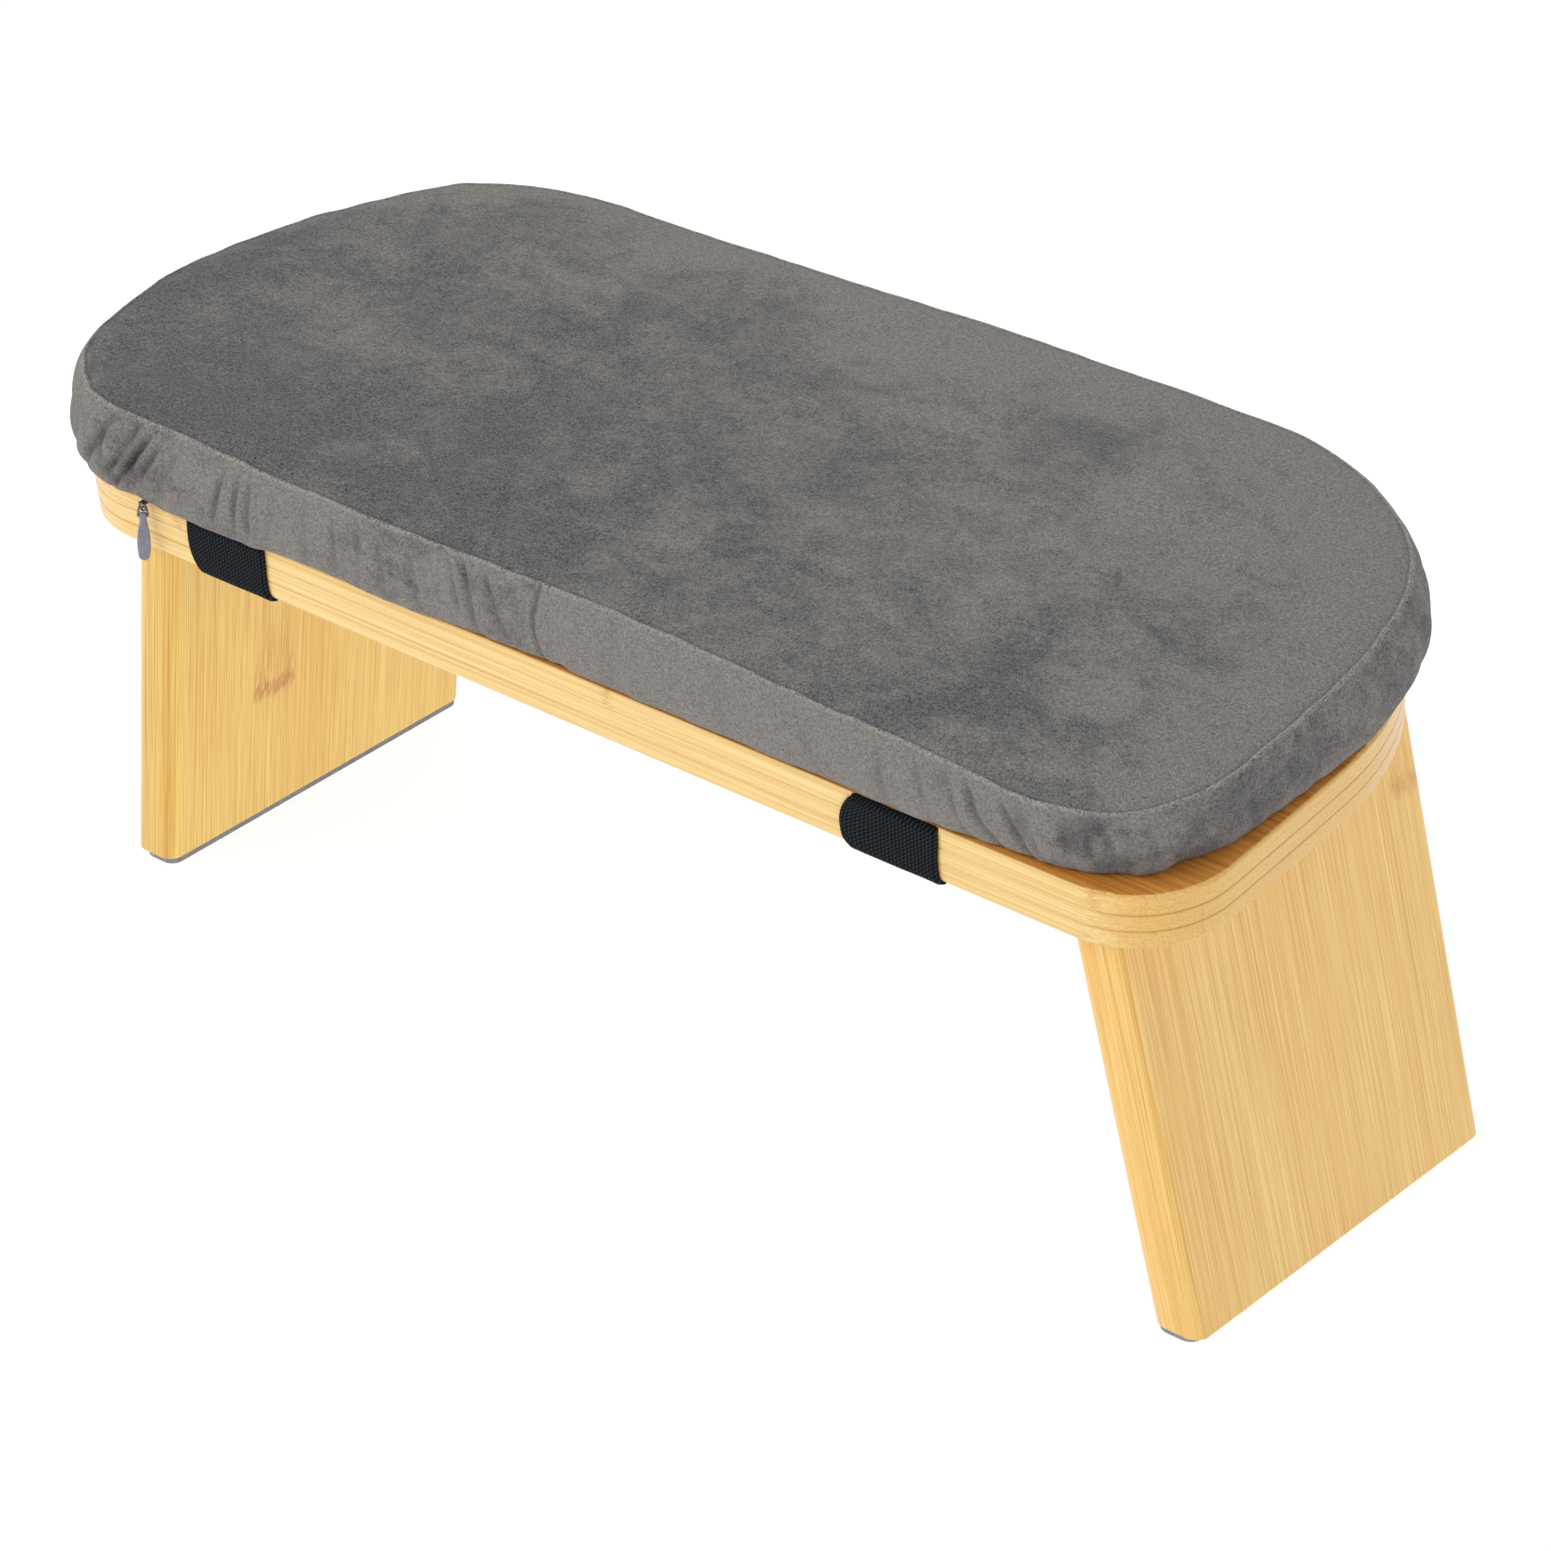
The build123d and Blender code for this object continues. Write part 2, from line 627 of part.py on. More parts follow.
outer_edge, glue_edge = (fillet, EDGE_R), (chamfer, GLUE_BEVEL)
bottom_ply = make_ply(0, PLY_BOTTOM, glue_edge, outer_edge)
core_ply = make_ply(PLY_BOTTOM, PLY_CORE, glue_edge, glue_edge)
save("seat_bottom_ply", drill_both_sides(bottom_ply, seat_holes))
save("seat_core_ply", drill_both_sides(core_ply, seat_holes))
save("seat_top_ply", make_ply(PLY_BOTTOM + PLY_CORE, PLY_TOP, outer_edge, glue_edge))

strap_shell = strap_block(STRAP_OFF + STRAP_T) - strap_block(STRAP_OFF)
for hand, strap_x in STRAP_X.items():
    save(hand + "_elastic_strap", make_strap(strap_shell, strap_x))

save("cushion_foam", make_foam())
save("cover_top_panel", slab(cushion_face(TOP_PANEL_Z, 0.0), COVER_T))
save("cover_bottom_panel", make_bottom_panel())
save("cover_side_band", make_side_band())

save("zip_tapes", *make_tapes())
save("zip_coils", make_coil(-1), make_coil(1))
save("zip_end_stops", make_end_stop(ZIP_X0 + STOP_IN), make_end_stop(ZIP_X1 - STOP_IN))
save("zip_slider", make_slider())
save("zip_pull_link", make_pull_link())
save("zip_pull_tab", make_pull_tab())
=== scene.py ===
"""Folding bamboo seat with a zipped velvet cushion held on by two elastic straps.

The CAD row frame is in metres, z up.  Shapes are worked out in the seat frame, in mm: x to the
right along the board, y to the rear, z square to the board, zero on the board's underside.
"""
import json
import math
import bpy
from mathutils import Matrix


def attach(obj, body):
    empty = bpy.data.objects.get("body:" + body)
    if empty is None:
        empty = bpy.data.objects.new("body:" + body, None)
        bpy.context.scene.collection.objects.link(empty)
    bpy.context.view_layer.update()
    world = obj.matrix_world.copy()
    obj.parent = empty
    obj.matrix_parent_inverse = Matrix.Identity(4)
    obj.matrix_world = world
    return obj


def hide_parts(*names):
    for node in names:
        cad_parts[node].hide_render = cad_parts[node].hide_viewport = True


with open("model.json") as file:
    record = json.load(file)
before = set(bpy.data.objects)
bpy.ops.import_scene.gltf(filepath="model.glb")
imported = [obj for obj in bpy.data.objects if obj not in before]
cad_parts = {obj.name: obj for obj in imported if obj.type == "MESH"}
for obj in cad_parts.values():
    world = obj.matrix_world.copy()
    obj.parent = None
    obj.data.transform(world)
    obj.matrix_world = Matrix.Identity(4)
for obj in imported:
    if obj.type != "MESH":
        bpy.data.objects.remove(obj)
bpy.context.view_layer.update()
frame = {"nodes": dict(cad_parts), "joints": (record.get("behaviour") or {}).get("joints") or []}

from fnmatch import fnmatchcase

import bmesh
import bpy
import numpy as np
from mathutils import Matrix, Vector

NODES = frame["nodes"]

# ------------------------------------------------------------------
# Seat frame
# ------------------------------------------------------------------
FOLD = next(joint for joint in frame["joints"] if joint["name"] == "right_leg_fold")
TILT = math.atan2(FOLD["axis"][2], FOLD["axis"][1])
COS_TILT, SIN_TILT = math.cos(TILT), math.sin(TILT)
PIN_DROP = 3.0                           # the fold pin runs this far under the board
PIN = [v * 1000.0 for v in FOLD["pos_m"]]
ORIGIN = np.array([0.0, PIN[1] - PIN_DROP * SIN_TILT, PIN[2] + PIN_DROP * COS_TILT])
SPLAY = math.radians(10.79)              # lean of a leg
LEG_INNER = 187.96 * math.cos(SPLAY)     # inner face of a leg, along the leg's own normal
PLY_JOINTS = (6.9, 13.0)                 # heights of the board's two glue lines

# rows are the local axes: along the grain, across it, through the thickness
SEAT_AXES = Matrix(((1, 0, 0), (0, COS_TILT, SIN_TILT), (0, -SIN_TILT, COS_TILT)))


def leg_axes(side):
    """Down the leg, front to rear, inner to outer; side is -1 for left, 1 for right."""
    to_row = SEAT_AXES.transposed()
    down = to_row @ Vector((side * math.sin(SPLAY), 0, -math.cos(SPLAY)))
    outward = to_row @ Vector((side * math.cos(SPLAY), 0, math.sin(SPLAY)))
    return Matrix((down, outward.cross(down), outward))


def to_row_frame(points):
    """Seat frame, mm -> row frame, m."""
    x, y, z = points.T
    return np.stack([
        x + ORIGIN[0],
        y * COS_TILT - z * SIN_TILT + ORIGIN[1],
        y * SIN_TILT + z * COS_TILT + ORIGIN[2],
    ], 1) / 1000.0


# ------------------------------------------------------------------
# Curves and noise
# ------------------------------------------------------------------
def ease(start, end, x):
    """Smooth step from 0 at start to 1 at end."""
    t = np.clip((x - start) / (end - start), 0, 1)
    return t * t * (3 - 2 * t)


def bell(x, width):
    return np.exp(-0.5 * (x / width) ** 2)


def ring_filter(values, weights):
    """Weighted running mean round a closed line."""
    reach = len(weights) // 2
    closed = np.concatenate([values[-reach:], values, values[:reach]])
    return np.convolve(closed, weights / weights.sum(), "valid")


def value_noise(x, y, seed, period=None):
    """Value noise with cells of size 1 and smooth steps; period wraps x."""
    cell_x, cell_y = np.floor(x).astype(int), np.floor(y).astype(int)
    part_x, part_y = x - cell_x, y - cell_y
    part_x, part_y = (t * t * t * (t * (t * 6 - 15) + 10) for t in (part_x, part_y))

    def corner(column, line):
        if period:
            column = np.mod(column, period)
        mixed = (column * 374761393 + line * 668265263 + seed * 1442695041) & 0xFFFFFFFF
        mixed = ((mixed ^ (mixed >> 13)) * 1274126177) & 0xFFFFFFFF
        mixed = mixed ^ (mixed >> 16)
        return mixed / 4294967295.0 * 2 - 1

    low, high = (
        corner(cell_x, line) * (1 - part_x) + corner(cell_x + 1, line) * part_x
        for line in (cell_y, cell_y + 1)
    )
    return low * (1 - part_y) + high * part_y


def outline(length, width, front_radius, rear_radius, bow, step, shift=(0.0, 0.0)):
    """Rounded outline with bowed ends: points, outward normals, distances round it, girth.

    It runs counter-clockwise from where the front edge meets the front right corner.
    """
    half_y = width / 2
    end_radius = ((width / 2) ** 2 + bow ** 2) / (2 * bow)
    end_x = length / 2 - end_radius

    def corner(sign, radius):
        y = sign * (half_y - radius)
        x = end_x + math.sqrt((end_radius - radius) ** 2 - y ** 2)
        return x, y, math.atan2(y, x - end_x)

    front_x, front_y, front_turn = corner(-1, front_radius)
    rear_x, rear_y, rear_turn = corner(1, rear_radius)
    pi = math.pi
    # arcs: centre x, centre y, radius, start and end angle; lines: start x, y, end x
    pieces = [
        (front_x, front_y, front_radius, -pi / 2, front_turn),
        (end_x, 0.0, end_radius, front_turn, rear_turn),
        (rear_x, rear_y, rear_radius, rear_turn, pi / 2),
        (rear_x, half_y, -rear_x),
        (-rear_x, rear_y, rear_radius, pi / 2, pi - rear_turn),
        (-end_x, 0.0, end_radius, pi - rear_turn, pi - front_turn),
        (-front_x, front_y, front_radius, pi - front_turn, 3 * pi / 2),
        (-front_x, -half_y, front_x),
    ]
    lengths = [
        abs(piece[2] * (piece[4] - piece[3])) if len(piece) == 5 else abs(piece[2] - piece[0])
        for piece in pieces
    ]
    girth = sum(lengths)
    count = int(round(girth / step))
    around = np.arange(count) * girth / count
    points, normals = np.zeros((count, 2)), np.zeros((count, 2))
    begin = 0.0
    for piece, extent in zip(pieces, lengths):
        here = (around >= begin - 1e-9) & (around < begin + extent - 1e-9)
        part = (around[here] - begin) / extent
        if len(piece) == 5:
            x, y, radius, start, end = piece
            angle = start + (end - start) * part
            normals[here] = np.stack([np.cos(angle), np.sin(angle)], 1)
            points[here] = (x, y) + radius * normals[here]
        else:
            start, y, end = piece
            points[here, 0] = start + (end - start) * part
            points[here, 1] = y
            normals[here] = (0.0, math.copysign(1.0, y))
        begin += extent
    points += shift
    return points, normals, around, girth


# ------------------------------------------------------------------
# Meshes
# ------------------------------------------------------------------
def mesh_object(name, verts, faces, material=None, smooth=True):
    mesh = bpy.data.meshes.new(name)
    mesh.from_pydata([tuple(v) for v in verts], [], [tuple(f) for f in faces])
    mesh.validate()
    mesh.update()
    if smooth:
        mesh.polygons.foreach_set("use_smooth", [True] * len(mesh.polygons))
    obj = bpy.data.objects.new(name, mesh)
    bpy.context.scene.collection.objects.link(obj)
    if material:
        mesh.materials.append(material)
    return obj


def point_attribute(obj, name, values):
    attribute = obj.data.attributes.new(name, "FLOAT", "POINT")
    attribute.data.foreach_set("value", np.asarray(values, np.float32))


def quads(*corners):
    return np.stack(corners, -1).reshape(-1, 4)


def ring_faces(row_count, column_count):
    """Faces between closed rings of vertices."""
    index = np.arange(row_count * column_count).reshape(row_count, column_count)
    low, high = index[:-1], index[1:]
    return quads(low, np.roll(low, -1, 1), np.roll(high, -1, 1), high)


def turn_faces_out(obj, weld=()):
    """Turn every face outwards, after merging the vertices listed in weld."""
    mesh = bmesh.new()
    mesh.from_mesh(obj.data)
    if weld:
        mesh.verts.ensure_lookup_table()
        bmesh.ops.remove_doubles(mesh, verts=[mesh.verts[i] for i in weld], dist=0.0001)
        bmesh.ops.dissolve_degenerate(mesh, dist=1e-7, edges=mesh.edges[:])
    bmesh.ops.recalc_face_normals(mesh, faces=mesh.faces[:])
    mesh.to_mesh(obj.data)
    mesh.free()


# ------------------------------------------------------------------
# Shader building: arithmetic on a Value adds math nodes
# ------------------------------------------------------------------
def math_node(operation, reverse=False):
    def apply(self, *others):
        operands = (*others, self) if reverse else (self, *others)
        return self.shader.node("ShaderNodeMath", operands, operation=operation)
    return apply


class Value:
    """A node's output."""

    def __init__(self, shader, socket):
        self.shader = shader
        self.socket = socket

    __add__ = math_node("ADD")
    __sub__ = math_node("SUBTRACT")
    __rsub__ = math_node("SUBTRACT", reverse=True)
    __mul__ = math_node("MULTIPLY")
    __truediv__ = math_node("DIVIDE")
    __pow__ = math_node("POWER")
    __abs__ = math_node("ABSOLUTE")
    floor = math_node("FLOOR")
    fract = math_node("FRACT")
    sine = math_node("SINE")
    root = math_node("SQRT")
    minimum = math_node("MINIMUM")
    wrap = math_node("WRAP")
    above = math_node("GREATER_THAN")
    below = math_node("LESS_THAN")

    def swing(self, amount):
        """A 0-1 value as a swing about zero."""
        return (self - 0.5) * amount

    def ramp(self, over, to=(0.0, 1.0), linear=False):
        """Clamped ramp: the range `over` of the input becomes the range `to`."""
        kind = "LINEAR" if linear else "SMOOTHSTEP"
        return self.shader.node("ShaderNodeMapRange", (self, *over, *to), interpolation_type=kind)

    def noise(self, scale, detail=2.0, rough=0.5, distortion=0.0):
        inputs = {"Vector": self, "Scale": scale, "Detail": detail, "Roughness": rough,
                  "Distortion": distortion}
        return self.shader.node("ShaderNodeTexNoise", inputs)

    def cells(self, scale):
        """Distance to the middle of scattered cells."""
        inputs = {"Vector": self, "Scale": scale}
        return self.shader.node("ShaderNodeTexVoronoi", inputs, "Distance")

    def dot(self, vector):
        inputs = (self, tuple(vector))
        return self.shader.node("ShaderNodeVectorMath", inputs, "Value", operation="DOT_PRODUCT")

    def toward(self, colour, factor):
        return self.shader.mix(factor, self, colour)

    def times(self, colour):
        return self.shader.mix(1.0, self, colour, "MULTIPLY")

    def bump(self, distance, strength, **below):
        inputs = {"Strength": strength, "Distance": distance, "Height": self, **below}
        return self.shader.node("ShaderNodeBump", inputs)


class Shader:
    def __init__(self, name):
        self.material = bpy.data.materials.new(name)
        self.material.use_nodes = True
        self.tree = self.material.node_tree
        self.tree.nodes.clear()
        self.output = self.tree.nodes.new("ShaderNodeOutputMaterial")

    def feed(self, socket, value):
        if isinstance(value, Value):
            self.tree.links.new(value.socket, socket)
        else:
            if socket.type == "RGBA" and len(value) == 3:
                value = (*value, 1.0)
            socket.default_value = value

    def node(self, kind, inputs=(), output=0, **settings):
        new = self.tree.nodes.new(kind)
        for key, value in settings.items():
            setattr(new, key, value)
        for key, value in inputs.items() if isinstance(inputs, dict) else enumerate(inputs):
            self.feed(new.inputs[key], value)
        return Value(self, new.outputs[output])

    def xyz(self, x, y, z):
        return self.node("ShaderNodeCombineXYZ", (x, y, z))

    def squeeze(self, place, factor):
        """Place with its first axis scaled; a small factor draws a texture out along it."""
        return self.xyz(place[0] * factor, place[1], place[2])

    def mix(self, factor, first, second, mode="MIX"):
        inputs = {0: factor, 6: first, 7: second}
        return self.node("ShaderNodeMix", inputs, 2, data_type="RGBA", blend_type=mode)

    def random(self, vector):
        return self.node("ShaderNodeTexWhiteNoise", {"Vector": vector})

    def local(self, axes=SEAT_AXES):
        """Distances in mm from ORIGIN along each of the axes."""
        position = self.node("ShaderNodeTexCoord", output="Object")
        inputs = (position, tuple(ORIGIN / 1000.0))
        offset = self.node("ShaderNodeVectorMath", inputs, operation="SUBTRACT")
        return [offset.dot(part * 1000.0 for part in axis) for axis in axes]

    def attribute(self, name):
        return self.node("ShaderNodeAttribute", output="Fac", attribute_name=name)

    def normal(self):
        return self.node("ShaderNodeNewGeometry", output="Normal")

    def openness(self, distance, samples):
        inputs = {"Distance": distance}
        return self.node("ShaderNodeAmbientOcclusion", inputs, "AO", samples=samples)

    def surface(self, **inputs):
        """Principled surface; underscores in the argument names stand for spaces."""
        named = {key.replace("_", " "): value for key, value in inputs.items()}
        self.feed(self.output.inputs[0], self.node("ShaderNodeBsdfPrincipled", named))
        return self.material


def srgb(*channels):
    """0-255 display values -> linear colour."""
    return tuple(
        (c / 255.0) / 12.92 if c / 255.0 <= 0.04045 else ((c / 255.0 + 0.055) / 1.055) ** 2.4
        for c in channels
    )


TURN = 6.2832


# ------------------------------------------------------------------
# Bamboo
# ------------------------------------------------------------------
def board_plies(shader, place, colour, mids, height, dark, pale):
    """What only the board shows: plies, end grain, shade of the parts resting on it."""
    along, across, depth = place
    # a ragged dark zone and a thin honey line at each glue line
    for joint in PLY_JOINTS:
        ragged = shader.xyz(along * 0.02, across * 0.02, joint).noise(1.0, detail=3.0, rough=0.6)
        near = abs(depth - joint) + ragged.swing(0.9)
        colour = colour.toward(dark, near.ramp(over=(0.0, 1.3), to=(0.30, 0.0)))
        line = abs(depth - joint).ramp(over=(0.05, 0.65), to=(0.26, 0.0))
        colour = colour.toward(srgb(214, 160, 84), line)
    # layers inside each ply, seen on the sides
    layers = shader.xyz(along * 0.005, across * 0.03, depth * 1.0)
    layers = layers.noise(1.25, detail=3.0, rough=0.7)
    colour = colour.toward(dark, layers.ramp(over=(0.52, 0.70), to=(0.0, 0.34)))
    colour = colour.toward(pale, layers.ramp(over=(0.48, 0.34), to=(0.0, 0.55)))
    # end grain: duller and speckled, as the fibres are cut across
    normal = shader.normal()
    facing_end = normal.dot((1, 0, 0))
    facing_up = normal.dot(SEAT_AXES[2])
    end = abs(facing_end).ramp(over=(0.12, 0.62))
    specks = shader.squeeze(place, 0.15).cells(1.35).ramp(over=(0.10, 0.50), to=(1.0, 0.0))
    end_colour = shader.mix(specks * 0.50, srgb(230, 184, 98), srgb(176, 120, 46))
    end_layers = layers.ramp(over=(0.5, 0.72), to=(0.0, 0.4))
    end_colour = end_colour.toward(srgb(206, 156, 78), end_layers)
    for joint in PLY_JOINTS:
        near = abs(depth - joint).ramp(over=(0.10, 1.3), to=(0.34, 0.0))
        end_colour = end_colour.toward(srgb(206, 152, 76), near)
    colour = colour.toward(end_colour, end * 0.85)
    # deep honey on the top face where the cushion's hem shades it
    shade = shader.openness(0.020, samples=12).ramp(over=(0.97, 0.62))
    shade = shade * (facing_up.ramp(over=(0.80, 0.97)) * depth.above(15.0))
    honey = shader.mix(mids.ramp(over=(0.40, 0.62)), (0.88, 0.40, 0.075), (0.66, 0.26, 0.04))
    colour = colour.toward(honey.toward(colour.times(honey), 0.45), shade * 0.92)
    height = height + (specks * end) * -0.6
    # painted contact shadow: a soft brown line where something rests against the sides or the
    # underside
    near = shader.openness(0.0035, samples=8).ramp(over=(0.80, 0.45))
    near = near * facing_up.ramp(over=(0.85, 0.60))
    colour = colour.toward((0.40, 0.17, 0.035), near * 0.75)
    # butt joint of two lengths, below the top ply near the right end
    butt = abs(across - -82.5).ramp(over=(0.08, 0.3), to=(1.0, 0.0))
    butt = butt * (depth.below(PLY_JOINTS[1]) * along.above(200.0))
    return colour.toward(srgb(176, 122, 64), butt * 0.16), height


def culm_node(shader, place, colour, centre, width, reach, amount, slope):
    """A slanted row of brown dashes across one strip of a leg, with a halo above it."""
    along, across, _ = place
    sideways = (across - centre[1]) / width
    ragged = sideways + shader.squeeze(place, 0.02).noise(0.8, rough=0.6).swing(0.16)
    in_strip = ragged.ramp(over=(-0.5, -0.38)) * ragged.ramp(over=(0.5, 0.38))
    # every fibre ends at its own height
    above = (centre[0] - along) + sideways * slope
    above = above + shader.squeeze(place, 0.004).noise(1.1, detail=3.0, rough=0.75).swing(13.0)
    fibres = shader.squeeze(place, 0.05).noise(1.1, detail=3.0, rough=0.7)
    upper = above.ramp(over=(reach * 1.5, 0.0), linear=True) ** 1.5
    upper = above.ramp(over=(-3.0, 1.0)) * upper
    lower = above.ramp(over=(2.0, -2.0)) * above.ramp(over=(-reach * 0.5, 0.0), linear=True)
    halo = (upper + lower * 0.35) * in_strip
    core = abs(above).ramp(over=(1.6, 5.6), to=(1.0, 0.0)) * in_strip
    dashes = shader.squeeze(place, 0.16).noise(0.95, rough=0.7).ramp(over=(0.38, 0.52))
    halo = (halo * fibres.ramp(over=(0.40, 0.60))) * (0.95 * amount)
    colour = colour.toward(srgb(214, 146, 52), halo)
    return colour.toward(srgb(204, 132, 42), (core * dashes) * (0.85 * amount))


def bamboo(name, axes, strip, seed, tones, contrast, stray_rate, lane=0.0, board=False,
           node=None, front_painted_shade=None):
    """Laminated bamboo in strips of the given width.

    tones are light, mid, dark and pale; lane shifts the strips sideways; stray_rate is the
    share of strips with small nodes; the last argument multiplies the front face's colour, as
    painted shade.
    """
    light, mid, dark, pale = (srgb(*tone) for tone in tones)
    shader = Shader(name)
    along, across, depth = shader.local(axes)
    # strips lie side by side, staggered from layer to layer
    shifted = across + (500.0 + lane)
    if board:
        layer = depth.above(PLY_JOINTS[0]) + depth.above(PLY_JOINTS[1])
        shifted = shifted + layer * 7.3
    else:
        depth = depth - LEG_INNER
        layer = depth.above(9.3)
        shifted = shifted + layer * 9.7
    place = (along, across, depth)
    cell = (shifted / strip).floor()
    inside = (shifted / strip).fract()

    def strip_random(offset, salt):
        return shader.random(shader.xyz(cell, layer + offset, float(seed) + salt))

    tone = shader.random(shader.xyz(cell, layer, float(seed)))
    second_tone = strip_random(3.7, 5)
    # fibres: noise drawn out along the grain, shifted from strip to strip
    shift = tone * 600.0
    long_fibres = shader.xyz((along + shift) * 0.0055, across, depth)
    short_fibres = shader.xyz((along + shift) * 0.014, across, depth)
    broad = long_fibres.noise(0.20, rough=0.55)
    mids = long_fibres.noise(0.62 if board else 0.80, detail=3.0, rough=0.62)
    thin = long_fibres.noise(2.3, rough=0.65)
    fine = short_fibres.noise(4.6, rough=0.6)
    # vascular bundles: long cells, so dots on the end grain
    bundles = shader.squeeze(place, 0.008).cells(1.15).ramp(over=(0.12, 0.42), to=(1.0, 0.0))
    bundles = bundles * short_fibres.noise(0.5, detail=1.0).ramp(over=(0.35, 0.65))

    # broad change of tone, strip by strip, then dark and pale streaks
    colour = shader.mix(broad.ramp(over=(0.36, 0.64)), mid, light)
    strip_colour = shader.mix(second_tone.ramp(over=(0.3, 0.7)), light, mid)
    colour = colour.toward(strip_colour, tone.ramp(over=(0.0, 1.0)) * 0.55)
    colour = colour.toward(dark, mids.ramp(over=(0.54, 0.70)) * contrast)
    thin_amount = (0.55 if board else 1.15) * contrast
    colour = colour.toward(dark, thin.ramp(over=(0.50, 0.64)) * thin_amount)
    colour = colour.toward(pale, (mids * 0.35 + thin * 0.65).ramp(over=(0.47, 0.37)) * 0.7)
    colour = colour.toward(dark, fine.ramp(over=(0.50, 0.74)) * 0.30)
    colour = colour.toward(dark, bundles * 0.26)
    # thin joint between neighbouring strips
    edge = inside.minimum(1.0 - inside)
    joint = edge.ramp(over=(0.0, 0.28 / strip), to=(1.0, 0.0), linear=True)
    colour = colour.toward(dark, joint * 0.45)
    height = fine * 0.5 + mids * 0.5
    if board:
        colour, height = board_plies(shader, place, colour, mids, height, dark, pale)
    if node:
        colour = culm_node(shader, place, colour, **node)
    # small stray nodes on random strips
    spacing = 190.0
    phase = strip_random(9.0, 11) * spacing
    away = ((along + 2000.0) + phase).wrap(spacing, 0.0) - spacing / 2
    away = away + inside.swing(5.0)
    chosen = strip_random(21.0, 2).below(stray_rate)
    stray = abs(away).ramp(over=(0.0, 3.6), to=(1.0, 0.0)) * chosen
    dashes = shader.squeeze(place, 0.2).noise(1.6, rough=0.7).ramp(over=(0.42, 0.6))
    colour = colour.toward(srgb(196, 132, 60), (stray * dashes) * 0.6)
    # painted shade: faces that look forward are darkened by a colour multiplier
    if front_painted_shade:
        facing_front = shader.normal().dot((0.0, -COS_TILT, -SIN_TILT))
        colour = colour.toward(colour.times(front_painted_shade), facing_front.ramp(over=(0.35, 0.95)))
    grain = height.bump(distance=0.00012, strength=0.55)
    return shader.surface(
        Base_Color=colour, Roughness=mids.ramp(over=(0.3, 0.7), to=(0.30, 0.42)),
        Normal=(joint * -1.0).bump(distance=0.0001, strength=0.6, Normal=grain),
        Coat_Weight=0.35, Coat_Roughness=0.22, IOR=1.48, Specular_IOR_Level=0.42)


BOARD_BAMBOO = bamboo(
    "bamboo_board", SEAT_AXES, strip=19.0, seed=3, board=True, contrast=0.50, stray_rate=0.20,
    tones=((242, 210, 138), (233, 192, 113), (213, 160, 80), (249, 228, 171)))
LEFT_BAMBOO = bamboo(
    "bamboo_left_leg", leg_axes(-1), strip=24.5, seed=17, lane=3.5, contrast=0.74,
    stray_rate=0.12, front_painted_shade=(0.80, 0.745, 0.70),
    tones=((252, 218, 116), (246, 201, 92), (223, 161, 54), (254, 228, 132)),
    node=dict(centre=(139.4, 40.5), width=24.5, reach=38.0, amount=1.0, slope=-4.5))
RIGHT_BAMBOO = bamboo(
    "bamboo_right_leg", leg_axes(1), strip=23.0, seed=29, lane=8.5, contrast=0.78,
    stray_rate=0.10, tones=((243, 205, 122), (237, 190, 102), (220, 163, 76), (250, 220, 142)),
    node=dict(centre=(75.0, 60.0), width=22.0, reach=24.0, amount=0.50, slope=4.0))


# ------------------------------------------------------------------
# Velvet
# ------------------------------------------------------------------
# patches where the pile was stroked one way: x, y, radius, change of lightness
STROKED = [
    (-128.0, -84.0, 58.0, -0.24), (-40.0, -78.0, 60.0, -0.16), (36.0, -64.0, 40.0, -0.16),
    (200.0, -70.0, 34.0, -0.24), (185.0, 6.0, 50.0, 0.14), (-186.0, 20.0, 46.0, -0.12),
]


